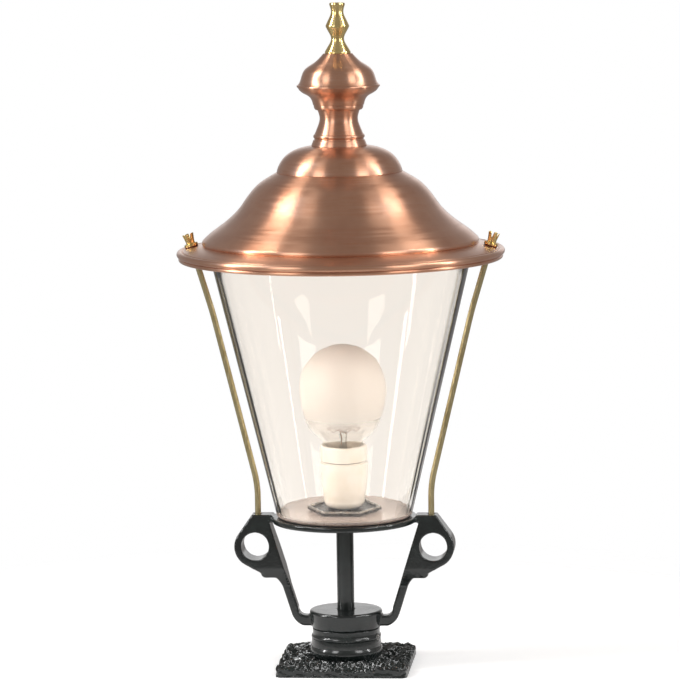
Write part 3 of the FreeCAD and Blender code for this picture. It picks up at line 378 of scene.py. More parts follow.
def applied(mesh, *steps):
    """The mesh after modifiers, each given as a type and its settings."""
    holder = thing("work", mesh)
    for kind, settings in steps:
        modifier = holder.modifiers.new(kind, kind)
        for key, value in settings.items():
            setattr(modifier, key, value)
    bpy.context.view_layer.update()
    done = bpy.data.meshes.new_from_object(holder.evaluated_get(bpy.context.evaluated_depsgraph_get()))
    bpy.data.objects.remove(holder)
    return done


def cut(mesh, cutter):
    """The mesh with another closed mesh taken out of it."""
    tool = thing("cutter", cutter)
    done = applied(mesh, ("BOOLEAN", {"operation": "DIFFERENCE", "object": tool, "solver": "EXACT"}))
    bpy.data.objects.remove(tool)
    done.shade_smooth()
    done.set_sharp_from_angle(angle=math.radians(SHARP))
    return done


def mirrored(mesh, name):
    """A copy on the other side of the lantern, with its faces turned back outwards."""
    other = mesh.copy()
    other.name = name
    points = coordinates(other)
    points[:, 0] *= -1.0
    other.vertices.foreach_set("co", points.ravel())
    other.flip_normals()
    return other


# ---------------------------------------------------------------- materials


def add(tree, kind, inputs=None, **settings):
    """Adds a node with its settings. An input is a value, or the socket that it is linked from."""
    made = tree.nodes.new(kind)
    for key, value in settings.items():
        setattr(made, key, value)
    for key, value in (inputs or {}).items():
        if isinstance(value, bpy.types.NodeSocket):
            tree.links.new(value, made.inputs[key])
        else:
            made.inputs[key].default_value = value
    return made


def maths(tree, operation, first, second=0.0):
    """Arithmetic on values or sockets."""
    return add(tree, "ShaderNodeMath", {0: first, 1: second}, operation=operation).outputs[0]


def feed(shader, **sockets):
    """Links sockets to the shader's inputs, written with an underscore for each space."""
    for key, socket in sockets.items():
        shader.id_data.links.new(socket, shader.inputs[key.replace("_", " ")])


def height_of(tree, where):
    return add(tree, "ShaderNodeSeparateXYZ", {0: where}).outputs[2]


def finish(name, base, **sockets):
    """A material with a Principled shader. Returns it with its tree, shader and object coordinates."""
    material = bpy.data.materials.new(name)
    material.use_nodes = True
    tree = material.node_tree
    shader = tree.nodes["Principled BSDF"]
    shader.inputs["Base Color"].default_value = base
    for key, value in sockets.items():
        shader.inputs[key.replace("_", " ")].default_value = value
    material.diffuse_color = base
    return material, tree, shader, add(tree, "ShaderNodeTexCoord").outputs["Object"]


def blend_colours(tree, factor, low, high):
    return add(tree, "ShaderNodeMix", {0: factor, 6: low, 7: high}, data_type="RGBA").outputs[2]


def between(tree, value, low, high, out_low=0.0, out_high=1.0):
    """The value taken from one range to another."""
    return add(tree, "ShaderNodeMapRange", {0: value, 1: low, 2: high, 3: out_low, 4: out_high}).outputs[0]


def spots(tree, where, size_mm, detail=3.0, roughness=0.55, stretch=(1.0, 1.0, 1.0)):
    """Noise whose lumps are about the given size in millimetres."""
    scaled = add(tree, "ShaderNodeMapping", {"Vector": where, "Scale": stretch}).outputs[0]
    settings = {"Vector": scaled, "Scale": 1.0 / (size_mm * MM), "Detail": detail, "Roughness": roughness}
    return add(tree, "ShaderNodeTexNoise", settings).outputs["Fac"]


def raised(tree, shader, height, depth_mm, strength):
    """Bump from a height of nought to one, that deep in millimetres."""
    bump = add(tree, "ShaderNodeBump", {"Height": height, "Strength": strength, "Distance": depth_mm * MM})
    feed(shader, Normal=bump.outputs[0])


def rings_round(tree, where, line_mm, arc_mm):
    """Noise drawn out round the axis: fine in radius and height, long round the turn. The direction from
    the axis stands for the angle, so there is no seam."""
    parts = add(tree, "ShaderNodeSeparateXYZ", {0: where}).outputs
    flat = add(tree, "ShaderNodeCombineXYZ", {0: parts[0], 1: parts[1]}).outputs[0]
    radius = add(tree, "ShaderNodeVectorMath", {0: flat}, operation="LENGTH").outputs["Value"]
    direction = add(tree, "ShaderNodeVectorMath", {0: flat}, operation="NORMALIZE").outputs[0]
    around = add(tree, "ShaderNodeVectorMath", {0: direction, "Scale": 100.0 / arc_mm},
                 operation="SCALE").outputs[0]
    fine = maths(tree, "MULTIPLY", maths(tree, "ADD", radius, parts[2]), 1.0 / (line_mm * MM))
    up = add(tree, "ShaderNodeCombineXYZ", {2: fine}).outputs[0]
    spot = add(tree, "ShaderNodeVectorMath", {0: around, 1: up}, operation="ADD").outputs[0]
    return add(tree, "ShaderNodeTexNoise", {"Vector": spot, "Scale": 1.0, "Detail": 2.0}).outputs["Fac"]


def lathe_lines(tree, shader):
    """Stretches highlights across rings about the upright axis."""
    feed(shader, Tangent=add(tree, "ShaderNodeTangent", direction_type="RADIAL", axis="Z").outputs[0])


def spun_copper(look):
    """Sheet copper spun over a former and left with a satin polish: rings of fine scratches that draw each
    light out into a streak up the slope, and a patchy brown tarnish. Scratches of 0.1 mm are drawn at
    0.8 mm."""
    material, tree, shader, where = finish("spun copper, satin", look.copper, Metallic=1.0, Roughness=0.38,
                                           Anisotropic=0.95, Anisotropic_Rotation=0.25, Coat_Weight=0.8,
                                           Coat_Roughness=0.34, Coat_IOR=1.65)
    patches = between(tree, spots(tree, where, 45.0, 4.0, 0.6), 0.35, 0.68)
    scratches = rings_round(tree, where, 0.8, 40.0)
    bands = between(tree, rings_round(tree, where, 5.0, 120.0), 0.3, 0.7)
    body = blend_colours(tree, maths(tree, "MULTIPLY", patches, bands), look.copper, look.tarnish)
    fine = between(tree, scratches, 0.35, 0.75, 0.0, 0.35)
    feed(shader, Base_Color=blend_colours(tree, fine, body, linear("#E6BC9F")),
         Roughness=between(tree, scratches, 0.3, 0.7, 0.28, 0.4))
    lathe_lines(tree, shader)
    raised(tree, shader, scratches, 0.02, 0.35)
    return material


def polished_brass(look):
    """Turned brass with a high polish, still with the tool's rings, and a little darker in places."""
    material, tree, shader, where = finish("polished brass", look.brass, Metallic=1.0, Roughness=0.24,
                                           Anisotropic=0.9, Anisotropic_Rotation=0.25)
    patches = spots(tree, where, 9.0)
    dark = between(tree, patches, 0.4, 0.7, 0.0, 0.7)
    feed(shader, Base_Color=blend_colours(tree, dark, look.brass, linear("#D3AE66")),
         Roughness=between(tree, patches, 0.3, 0.7, 0.2, 0.3))
    lathe_lines(tree, shader)
    raised(tree, shader, spots(tree, where, 1.2), 0.02, 0.2)
    return material


def drawn_brass(look):
    """Brass rod as drawn, dulled outdoors: an olive skin, with faint lines along the rod."""
    material, tree, shader, where = finish("drawn brass, dulled", look.rod_brass, Metallic=1.0,
                                           Roughness=0.4)
    stains = spots(tree, where, 14.0, 4.0, 0.6, (1.0, 1.0, 0.4))
    lines = spots(tree, where, 0.8, 2.0, 0.5, (1.0, 1.0, 0.05))
    tone = blend_colours(tree, between(tree, stains, 0.35, 0.7), look.rod_brass, linear("#978861"))
    tone = blend_colours(tree, between(tree, lines, 0.45, 0.75, 0.0, 0.5), tone, linear("#E6DAB4"))
    feed(shader, Base_Color=tone, Roughness=between(tree, stains, 0.3, 0.7, 0.3, 0.5))
    raised(tree, shader, lines, 0.03, 0.4)
    return material


def gloss_paint(name, base, wave_mm, depth_mm, roughness):
    """Alkyd gloss paint brushed over an iron casting: it flows out unevenly, so reflections break up, and
    is greyer in patches of grime."""
    material, tree, shader, where = finish(name, base, Roughness=roughness, IOR=1.52, Coat_Weight=0.6,
                                           Coat_Roughness=0.06)
    waves = spots(tree, where, wave_mm, 3.0, 0.5)
    grime = spots(tree, where, 22.0, 4.0, 0.65)
    grey = between(tree, grime, 0.45, 0.75, 0.0, 0.5)
    feed(shader, Base_Color=blend_colours(tree, grey, base, linear("#222D2B")),
         Roughness=between(tree, grime, 0.3, 0.7, roughness * 0.75, roughness * 1.5))
    raised(tree, shader, waves, depth_mm, 0.6)
    return material


def shade_glass(look):
    """Spun borosilicate: clear with a faint warm tint, and slow waves that bend its reflections. Its floor
    is milky and gritty where it stands on the ring. Lamp light goes straight through it."""
    material, tree, shader, where = finish("clear shade glass", look.glass, Roughness=0.0, IOR=1.47,
                                           Transmission_Weight=1.0)
    floor_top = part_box("glass_shade")[0].z + GLASS_FLOOR * MM
    haze = between(tree, height_of(tree, where), floor_top + 0.6 * MM, floor_top - 0.2 * MM)
    grit = spots(tree, where, 1.6, 2.0)
    milky = blend_colours(tree, between(tree, grit, 0.5, 0.72), look.floor_haze, linear("#9D8478"))
    feed(shader, Base_Color=blend_colours(tree, haze, look.glass, milky),
         Roughness=between(tree, haze, 0.0, 1.0, 0.0, 0.24),
         Transmission_Weight=between(tree, haze, 0.0, 1.0, 1.0, 0.3))
    raised(tree, shader, spots(tree, where, 38.0, 1.0, 0.4), 0.12, 0.15)
    clear_shadow(tree, shader, "#EDEBE8")
    return material


def show_mixed(tree, factor, first, second):
    """Mixes two shaders on the material's surface."""
    mixed = add(tree, "ShaderNodeMixShader", {0: factor, 1: first, 2: second}).outputs[0]
    tree.links.new(mixed, tree.nodes["Material Output"].inputs["Surface"])


def clear_shadow(tree, shader, code):
    """Lets lamp light through a glass in straight lines, tinted by a colour."""
    shadow = add(tree, "ShaderNodeLightPath").outputs["Is Shadow Ray"]
    pane = add(tree, "ShaderNodeBsdfTransparent", {"Color": linear(code)}).outputs[0]
    show_mixed(tree, shadow, shader.outputs[0], pane)


def bulb_glass(light):
    """Soda glass etched on the inside down to the neck: milky above, clear below, with a faint sparkle
    of the etching. Grains of 0.05 mm are drawn at 1.2 mm."""
    material, tree, shader, where = finish("etched bulb glass", light.frost, Roughness=0.45, IOR=1.45)
    fade = 14.0 * MM
    frost = between(tree, height_of(tree, where), light.frost_foot - fade, light.frost_foot + fade)
    grain = spots(tree, where, 1.2, 2.0)
    feed(shader, Roughness=between(tree, frost, 0.0, 1.0, 0.02, 0.55),
         Transmission_Weight=between(tree, frost, 0.0, 1.0, 1.0, 0.45),
         Base_Color=blend_colours(tree, frost, linear("#FFFDFA"), light.frost))
    raised(tree, shader, maths(tree, "MULTIPLY", grain, frost), 0.12, 0.5)
    clear_shadow(tree, shader, "#C8C2BB")
    return material


def clear_glass():
    """Lamp-worked glass of the bulb's mount."""
    material, tree, shader, where = finish("lamp-worked glass", linear("#F4F7F5"), Roughness=0.02, IOR=1.5,
                                           Transmission_Weight=1.0)
    raised(tree, shader, spots(tree, where, 6.0, 1.0), 0.1, 0.3)
    return material


def glazed_porcelain(light):
    """Electrical porcelain under a clear glaze: cream, deep gloss, faint specks and a slightly wavy skin.
    A dark brown band is painted round the joint between the body and its ring, as painted shade in that
    groove."""
    material, tree, shader, where = finish("glazed porcelain", light.porcelain, Roughness=0.22, IOR=1.5,
                                           Coat_Weight=0.5, Coat_Roughness=0.06)
    clouds = spots(tree, where, 18.0)
    specks = between(tree, spots(tree, where, 0.9, 1.0), 0.72, 0.78, 0.0, 0.35)
    cream = between(tree, clouds, 0.4, 0.7, 0.0, 0.6)
    tone = blend_colours(tree, cream, light.porcelain, linear("#E7DAC6"))
    tone = blend_colours(tree, specks, tone, linear("#B79F80"))
    over_joint = maths(tree, "SUBTRACT", height_of(tree, where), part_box("lampholder_ring")[0].z)
    # painted shade: a dark brown band within 0.7 mm of the joint between holder body and ring
    joint_shade = between(tree, maths(tree, "ABSOLUTE", over_joint), 0.7 * MM, 0.3 * MM, 0.0, 0.85)
    feed(shader, Base_Color=blend_colours(tree, joint_shade, tone, linear("#7D6A5A")))
    raised(tree, shader, clouds, 0.15, 0.3)
    return material


def plated_steel(name, base, roughness, dust_and_shade_under=None):
    """Zinc-plated steel: a grey lustre broken into dull and bright clouds. Below the height given as the
    last argument, in millimetres, it is darker and less metallic: dusty, and painted shade of the tray's
    recessed floor."""
    material, tree, shader, where = finish(name, base, Metallic=1.0, Roughness=roughness)
    clouds = spots(tree, where, 5.0, 4.0, 0.6)
    tone = blend_colours(tree, between(tree, clouds, 0.35, 0.7), base, linear("#6B6863"))
    if dust_and_shade_under is not None:
        # darker below this height: partly dusty, partly painted shade in the tray's recess
        dust_and_shade = between(tree, height_of(tree, where), (dust_and_shade_under + 0.5) * MM, (dust_and_shade_under - 0.2) * MM)
        tone = blend_colours(tree, dust_and_shade, tone, linear("#2B2623"))
        feed(shader, Metallic=between(tree, dust_and_shade, 0.0, 1.0, 1.0, 0.1))
    feed(shader, Base_Color=tone,
         Roughness=between(tree, clouds, 0.3, 0.7, roughness * 0.8, roughness * 1.4))
    raised(tree, shader, spots(tree, where, 0.9), 0.03, 0.3)
    return material


def moulded_rubber(look):
    """Black rubber with a dull bloom."""
    material, tree, shader, where = finish("moulded rubber", look.rubber, Roughness=0.7, IOR=1.5)
    bloom = between(tree, spots(tree, where, 7.0, 4.0, 0.6), 0.4, 0.75, 0.0, 0.6)
    feed(shader, Base_Color=blend_colours(tree, bloom, look.rubber, linear("#3A3735")))
    raised(tree, shader, spots(tree, where, 0.6), 0.05, 0.4)
    return material


def plain(name, code, roughness, metallic, grain_mm, grain_depth_mm, dark_code):
    """A small part's finish: its colour, clouds of a darker one and a fine grain."""
    base = linear(code)
    material, tree, shader, where = finish(name, base, Roughness=roughness, Metallic=metallic, IOR=1.5)
    clouds = between(tree, spots(tree, where, 4.0), 0.4, 0.7)
    feed(shader, Base_Color=blend_colours(tree, clouds, base, linear(dark_code)))
    raised(tree, shader, spots(tree, where, grain_mm), grain_depth_mm, 0.4)
    return material


MATERIALS = {}


def make_materials(scene):
    hood, shade, light, casting, rods = (scene.lantern_hood, scene.lantern_shade, scene.lantern_light,
                                         scene.lantern_casting, scene.lantern_rods)
    MATERIALS.update(
        copper=spun_copper(hood), brass=polished_brass(hood), rod=drawn_brass(rods),
        cast=gloss_paint("gloss paint on the casting", casting.paint, 5.0, 0.35, 0.2),
        foot=gloss_paint("gloss paint on the rough plate", casting.paint, 3.5, 1.1, 0.12),
        stem=gloss_paint("gloss paint on pipe", casting.paint, 9.0, 0.1, 0.3),
        glass=shade_glass(shade), bulb=bulb_glass(light), mount=clear_glass(),
        porcelain=glazed_porcelain(light), rubber=moulded_rubber(shade),
        steel=plated_steel("zinc-plated steel", linear("#A9A8A4"), 0.32),
        # the tray's floor is darkened: dusty, and painted shade under the lampholder
        tray=plated_steel("pressed steel plate", linear("#D6D0C8"), 0.26, foot("hex_plate") + 2.1),
        fibre=plain("vulcanised fibre", "#7C2F22", 0.6, 0.0, 0.8, 0.05, "#5A2018"),
        cap=plain("bulb cap metal", "#C8C5BC", 0.3, 1.0, 1.0, 0.02, "#9C978C"),
        shell=plain("brass sheet", "#C9A45C", 0.3, 1.0, 1.0, 0.02, "#8E7038"),
        black=plain("black glass", "#0B0B0D", 0.1, 0.0, 2.0, 0.02, "#18181B"),
        wire=plain("drawn wire", "#B57C50", 0.45, 0.6, 0.6, 0.01, "#83583A"))


# ---------------------------------------------------------------- hood


STUD_HOLE = 3.2
DOME, NECK, DISH, CAP, FINIAL, TIP = 499.4, 525.4, 566.0, 583.6, 617.0, 667.0    # height where each starts


def brim_outline(hood):
    """Flat seat, slope, a round bead and a smaller lip, hollow underneath."""
    seat, under = 125.05, 427.0
    flat_top = under + hood.sheet / MM
    flat, wall = 138.25, 157.65
    slope_end = (156.85, flat_top - SLOPE * (156.85 - flat))
    bead, lip = (160.85, slope_end[1] - 3.7), (159.85, slope_end[1] - 8.2)
    lip_foot = lip[1] - 2.0
    groove = (lip[0] + 0.84, (bead[1] + lip[1] - 0.8) / 2.0)
    upper = arc((slope_end[0] + 0.84, slope_end[1] - 1.6), (bead[0] + 2.8, bead[1]), groove, 17)
    lower = arc(groove, (lip[0] + 2.0, lip[1]), (lip[0], lip_foot), 13)
    return joined((seat, under), (flat, under), (wall, under - SLOPE * (wall - flat)), (wall, lip_foot),
                  lower[::-1], upper[::-1], slope_end, (flat, flat_top), (seat, flat_top), (seat, under))


def shares_to(points, start, end):
    """Shares of a run outwards and a rise upwards as radius and height."""
    s = np.asarray(points, float)
    return np.stack([start[0] + s[:, 0] * (end[0] - start[0]), end[1] + s[:, 1] * (start[1] - end[1])], 1)


def roof_side():
    """The S of the roof from its flat top to the turned hem."""
    low, high = foot("roof_bell"), top("roof_bell")
    shares = ((0.0, 1.0), (0.11, 0.928), (0.231, 0.84), (0.337, 0.723), (0.42, 0.603), (0.499, 0.479),
              (0.603, 0.356), (0.744, 0.225), (0.91, 0.09), (1.0, 0.0))
    hem_top = (136.7, low + 5.1)
    side = spline(shares_to(shares, (63.2, high), hem_top), 60)
    return joined((STUD_HOLE, high), side, arc(hem_top, (138.0, low + 2.55), (137.3, low), 13))


def dome_side():
    """A round shoulder under the neck."""
    shares = ((0.0, 1.0), (0.21, 0.955), (0.5, 0.83), (0.75, 0.61), (0.885, 0.385), (0.97, 0.155),
              (1.0, 0.0))
    return joined((STUD_HOLE, NECK), spline(shares_to(shares, (28.6, NECK), (62.7, DOME)), 40))


def neck_outline():
    """Tapered foot, groove, bead, waist and band."""
    low, high = NECK, DISH
    side_low = (24.2, low + 11.8)
    waist = spline([side_low, (20.56, low + 20.68), (19.0, low + 26.6), (21.2, high - 4.6)], 30)
    return joined((16.6, low), (27.9, low), (25.6, low + 6.0), (24.6, low + 6.0), (24.6, low + 7.6),
                  arc((24.6, low + 7.6), (25.6, low + 9.7), side_low), waist, (22.99, high - 4.6),
                  arc((22.99, high - 4.6), (24.28, high - 2.76), (24.6, high)), (24.6, high),
                  (STUD_HOLE, high), (STUD_HOLE, high - 1.2), (16.6, high - 1.2), (16.6, low))


def dish_side():
    """The lower half of the cap, which flares to its rim."""
    shares = ((0.0, 0.0), (0.05, 0.16), (0.13, 0.34), (0.29, 0.505), (0.57, 0.645), (0.9, 0.865),
              (1.0, 1.0))
    return joined((STUD_HOLE, DISH), spline(shares_to(shares, (25.2, CAP), (40.4, DISH)), 40))


def cap_side():
    """The upper half of the cap, down to a turned hem."""
    shares = ((0.0, 1.0), (0.148, 0.865), (0.329, 0.73), (0.575, 0.597), (0.75, 0.468), (0.862, 0.265),
              (0.945, 0.07), (1.0, 0.0))
    hem_top = (40.0, CAP + 2.8)
    side = spline(shares_to(shares, (14.4, FINIAL), hem_top), 50)
    return joined((STUD_HOLE, FINIAL), side, arc(hem_top, (41.4, CAP + 1.4), (40.6, CAP)))


def finial_outline():
    """Flared base, waist, urn with a sharp ridge, and a small cup."""
    low, high = FINIAL, TIP
    size = high - low
    middle = low + 0.545 * size
    lower = spline([(12.8, low + 1.9), (9.41, low + 0.15 * size), (6.4, low + 0.295 * size),
                    (9.05, low + 0.43 * size), (11.4, middle - 1.3)], 40)
    upper = spline([(11.3, middle + 1.3), (8.95, low + 0.67 * size), (6.2, low + 0.815 * size),
                    (7.8, low + 0.965 * size)], 40)
    return joined((0.0, low + 14.0), (3.0, low + 14.0), (3.0, low), (12.8, low), lower,
                  arc((11.4, middle - 1.3), (11.7, middle), (11.3, middle + 1.3), 7), upper, (7.5, high),
                  (5.6, high), (5.1, high - 2.2), (0.0, high - 2.2))


def brim_slots():
    """Two upright prisms with round ends, where the leaning rods leave the brim."""
    steps, radius, low, high = 32, 3.5, 400.0, 440.0
    a = turns(steps)
    half = 0.5 * (0.5 + 0.5 + 2.27)
    along = SEAT[0] - 0.5 + half + radius * np.cos(a) + half * np.sign(np.cos(a))
    rings = [np.column_stack([along, radius * np.sin(a), np.full(steps, z)]) for z in (low, high)]
    points = np.vstack([*rings, [SEAT[0], 0, low], [SEAT[0], 0, high]])
    ring = np.arange(steps)
    ahead = np.roll(ring, -1)
    tris = np.vstack([np.stack([np.full(steps, 2 * steps), ahead, ring], 1),
                      np.stack([steps + ring, steps + ahead, np.full(steps, 2 * steps + 1)], 1)])
    right = mesh_from("slot", points, grid_faces(2, steps, False, True)[:, ::-1], tris)
    return right, mirrored(right, "slot left")


class LANTERN_OT_hood(bpy.types.Operator):
    """Spin the brim, roof, dome, neck and cap"""
    bl_idname = "lantern.hood"
    bl_label = "Copper hood"

    def execute(self, context):
        hood = context.scene.lantern_hood
        sheet, edge = hood.sheet / MM, hood.edge / MM
        brim = turned("brim", softened(brim_outline(hood), edge), 256)
        for slot_mesh in brim_slots():
            brim = cut(brim, slot_mesh)
        copper = MATERIALS["copper"]
        place("spun_brim", brim, "hood", ["brim_ring"], copper)
        shells = (("roof", "roof_bell", roof_side(), 192), ("dome", "upper_dome", dome_side(), 192),
                  ("cap", "cap_dome", cap_side(), 192), ("dish", "cap_dish", dish_side()[::-1], 128))
        for name, node, side, steps in shells:
            outline = softened(walled(side, sheet), edge)
            place("spun_" + name, turned(name, outline, steps), "hood", [node], copper)
        neck = softened(neck_outline(), edge)
        place("spun_neck", turned("neck", neck, 128), "hood", ["neck"], copper)
        return {"FINISHED"}


class LANTERN_OT_finial(bpy.types.Operator):
    """Turn the brass finial"""
    bl_idname = "lantern.finial"
    bl_label = "Finial"

    def execute(self, context):
        mesh = turned("finial", softened(finial_outline(), 0.35), 96)
        place("turned_finial", mesh, "hood", ["finial"], MATERIALS["brass"])
        return {"FINISHED"}


def hex_nut(name, flats, low, high, bore, turn):
    """A nut whose outer radius is the smaller of the hexagon's and of a cone at each end."""
    steps, chamfer, sixth = 96, 0.5, math.pi / 3
    half = flats / 2
    corner = half / math.cos(sixth / 2)
    limit = np.array([half * 0.97, half, corner, corner, half, half * 0.97])
    heights = np.array([low, low, low + chamfer, high - chamfer, high, high, high, low])
    side = half / np.cos((turns(steps) - turn + sixth / 2) % sixth - sixth / 2)
    radii = np.concatenate([np.minimum(side[:, None], limit), np.full((steps, 2), bore)], 1)
    return ringed(name, radii, heights, 25.0)


class LANTERN_OT_fixings(bpy.types.Operator):
    """Add the locknuts, the stud with its nut, and the washers and pads of the clamped stack"""
    bl_idname = "lantern.fixings"
    bl_label = "Locknuts, stud and pads"

    def execute(self, context):
        steel, rubber = MATERIALS["steel"], MATERIALS["rubber"]
        on_pipe, on_stud = (24.0, 8.6, "base", math.pi / 3), (10.0, 3.0, "hood", math.pi / 6)
        nuts = {"hub_locknut": on_pipe, "clamp_locknut": on_pipe, "holder_locknut": on_pipe,
                "hood_nut": on_stud}
        for node, (flats, bore, body, turn) in nuts.items():
            mesh = hex_nut(node, flats, foot(node), top(node), bore, turn)
            place("chamfered_" + node, mesh, body, [node], steel)
        rings = (("clamp_disc", 8.8, 21.0, "base", "steel", steel),
                 ("clamp_pad", 8.8, 21.0, "base", "rubber", rubber),
                 ("shade_gasket", 59.1, 66.1, "base", "rubber", rubber),
                 ("hood_washer", STUD_HOLE, 9.0, "hood", "steel", steel))
        for node, inner, outer, body, slot, material in rings:
            low, high = foot(node), top(node)
            outline = softened([(inner, low), (outer, low), (outer, high), (inner, high)], 0.3)
            place("flat_" + node, turned(node, outline, 128), body, [node], material)
        low, high = foot("hood_stud"), top("hood_stud")
        outline = [(0.0, low), (2.6, low), (3.0, low + 0.5), (3.0, high), (0.0, high)]
        place("round_stud", turned("stud", outline, 48), "hood", ["hood_stud"], steel)
        dress("hex_pad", rubber)
        return {"FINISHED"}


# ---------------------------------------------------------------- shade


GLASS_FLOOR = 3.2
RIM_IN, RIM_OUT = 128.75, 131.75


class LANTERN_OT_shade(bpy.types.Operator):
    """Blow the glass shade and add its seal"""
    bl_idname = "lantern.shade"
    bl_label = "Glass shade"

    def execute(self, context):
        look = context.scene.lantern_shade
        low, high = foot("glass_shade"), top("glass_shade")
        wave = look.edge_wave / MM
        bore, outer = 10.4, (67.96, low + 1.5)

        def uneven(points, angle):
            near = np.clip(1.0 - (points[..., 2] - low) / 9.0, 0.0, 1.0)
            out = np.linalg.norm(points[..., :2], axis=-1) > 60.0
            ripple = np.cos(9 * angle + 0.7) + 0.8 * np.cos(17 * angle) + 0.6 * np.cos(41 * angle + 2.0)
            points[..., :2] *= (1.0 + near * out * wave * ripple / 2.4 / 68.0)[..., None]
            return points
        wall = np.linspace(outer, (RIM_OUT, high), 12)
        side = joined((bore, low), (66.1, low), wall, (RIM_IN, high), (65.37, low + GLASS_FLOOR),
                      (bore, low + GLASS_FLOOR))
        mesh = turned("shade", softened(side, 0.9), 256, shape=uneven)
        place("blown_shade", mesh, "base", ["glass_shade"], MATERIALS["glass"])
        seal_low, seal_high = foot("shade_seal"), top("shade_seal")
        inside, outside, narrower = 127.25, 133.25, 0.96
        seal = [(inside, seal_low), (RIM_IN - narrower, seal_low), (RIM_IN, high), (RIM_OUT, high),
                (RIM_OUT - narrower, seal_low), (outside, seal_low), (outside, seal_high),
                (inside, seal_high)]
        place("rubber_seal", turned("seal", softened(seal, 0.4), 192), "base", ["shade_seal"],
              MATERIALS["rubber"])
        return {"FINISHED"}


# ---------------------------------------------------------------- lampholder and bulb


def hex_tray(low, floor, high, corner, lip):
    """A six-sided tray. Each ring of its outline is a hexagon drawn in a little at the middle of each
    flat, and the rings go over to circles towards the bore."""
    steps, bore, sixth = 192, 8.8, math.pi / 3
    off_middle = turns(steps) % sixth - sixth / 2
    off_corner = np.abs(sixth / 2 - np.abs(off_middle))
    drawn_in = np.clip((off_corner - math.radians(25.0)) / math.radians(5.0), 0.0, 1.0)
    flat = math.cos(sixth / 2) / np.cos(off_middle) * (1.0 - 0.035 * drawn_in ** 2)
    outline = softened([(bore, low), (corner, low), (corner, high), (corner - lip, high),
                        (corner - lip - 0.8, floor), (bore, floor)], 0.7)
    six_sided = np.clip((outline[:, 0] - 9.5) / 12.0, 0.0, 1.0)
    radii = outline[:, 0] * (1.0 + six_sided * (flat[:, None] - 1.0))
    return ringed("tray", radii, outline[:, 1], 40.0)


def threaded(name, low, high, radius, depth, wall, thread_low, thread_high, closed_foot=0.0):
    """A tube rolled into a round right-hand thread: the radius follows the cosine of height over pitch less
    angle. The wall is moved in by its thickness, and the thread fades out at both ends."""
    steps, pitch = 96, 3.629
    z = np.linspace(low, high, 150)
    fade = np.clip(np.minimum(z - thread_low, thread_high - z) / 1.5, 0.0, 1.0)
    outer = radius + 0.5 * depth * (np.cos(TURN * z / pitch - turns(steps)[:, None]) - 1.0) * fade
    radii = np.concatenate([outer, outer[:, ::-1] - wall], 1)
    heights = np.concatenate([z, z[::-1]])
    if closed_foot:
        radii = np.concatenate([radii, np.full((steps, 2), closed_foot)], 1)
        heights = np.concatenate([heights, [low + wall, low]])
    return ringed(name, radii, heights, 50.0)


class LANTERN_OT_lampholder(bpy.types.Operator):
    """Cast the porcelain lampholder on its steel tray, with its brass insides"""
    bl_idname = "lantern.lampholder"
    bl_label = "Lampholder and tray"

    def execute(self, context):
        tray = hex_tray(foot("hex_plate"), foot("hex_plate") + 1.5, top("hex_plate"), 37.5, 2.4)
        place("pressed_tray", tray, "base", ["hex_plate"], MATERIALS["tray"])
        low = foot("lampholder_body")
        seat = top("lampholder_body")
        shoulder = low + 44.2
        foot_in, foot_out, pocket, spigot, bore = 15.16, 16.6, 17.38, 22.38, 8.6
        side_low, side_high = (20.6, low + 7.0), (24.28, shoulder - 3.5)
        middle = ((side_low[0] + side_high[0]) / 2 + 0.7, (side_low[1] + side_high[1]) / 2)
        body = joined(arc((foot_out, low), (19.2, low + 2.1), side_low),
                      arc(side_low, middle, side_high, 21), (23.88, shoulder), (spigot, shoulder),
                      (spigot, seat), (pocket, seat), (pocket, low + 8.0), (bore, low + 8.0),
                      (bore, low + 3.0), (foot_in, low + 3.0), (foot_in, low), (foot_out, low))
        porcelain = MATERIALS["porcelain"]
        place("glazed_holder", turned("holder", softened(body, 0.8), 128), "base",
              ["lampholder_body"], porcelain)
        ring_low, ring_high = foot("lampholder_ring"), top("lampholder_ring")
        inside, outside = 14.28, 23.68
        curve = (outside, ring_high - 2.2)
        ring = joined((inside, ring_low), (outside, ring_low),
                      arc(curve, (23.02, ring_high - 0.66), (21.48, ring_high)), (20.78, ring_high),
                      (inside, ring_low + 4.8))
        place("glazed_ring", turned("holder ring", softened(ring, 0.8), 128), "base",
              ["lampholder_ring"], porcelain)
        shell_low, shell_high = foot("screw_shell"), top("screw_shell")
        depth = context.scene.lantern_light.thread_depth / MM
        shell = threaded("shell", shell_low, shell_high, 13.68, depth, 0.45, shell_low + 1.5,
                         shell_high + 5.0)
        place("rolled_shell", shell, "base", ["screw_shell"], MATERIALS["shell"])
        dress("contact_block", porcelain)
        dress("centre_contact", MATERIALS["shell"])
        return {"FINISHED"}


def globe_run(radius, foot_radius, low, centre):
    """The bulb's outline: a ball down to its middle, then a smooth run in to the cap."""
    s = np.linspace(math.pi / 2, 0.0, 40)
    ball = np.stack([radius * np.cos(s), centre + radius * np.sin(s)], 1)
    shares = np.array([(1.0, 0.0), (0.94, 0.32), (0.83, 0.53), (0.69, 0.66), (0.5, 0.78), (0.37, 0.89)])
    points = np.stack([shares[:, 0] * radius, centre - shares[:, 1] * (centre - low)], 1)
    run = spline(np.vstack([ball[-6:-1:2], points, [(foot_radius, low)]]), 80)
    return joined(ball[:-6], run)


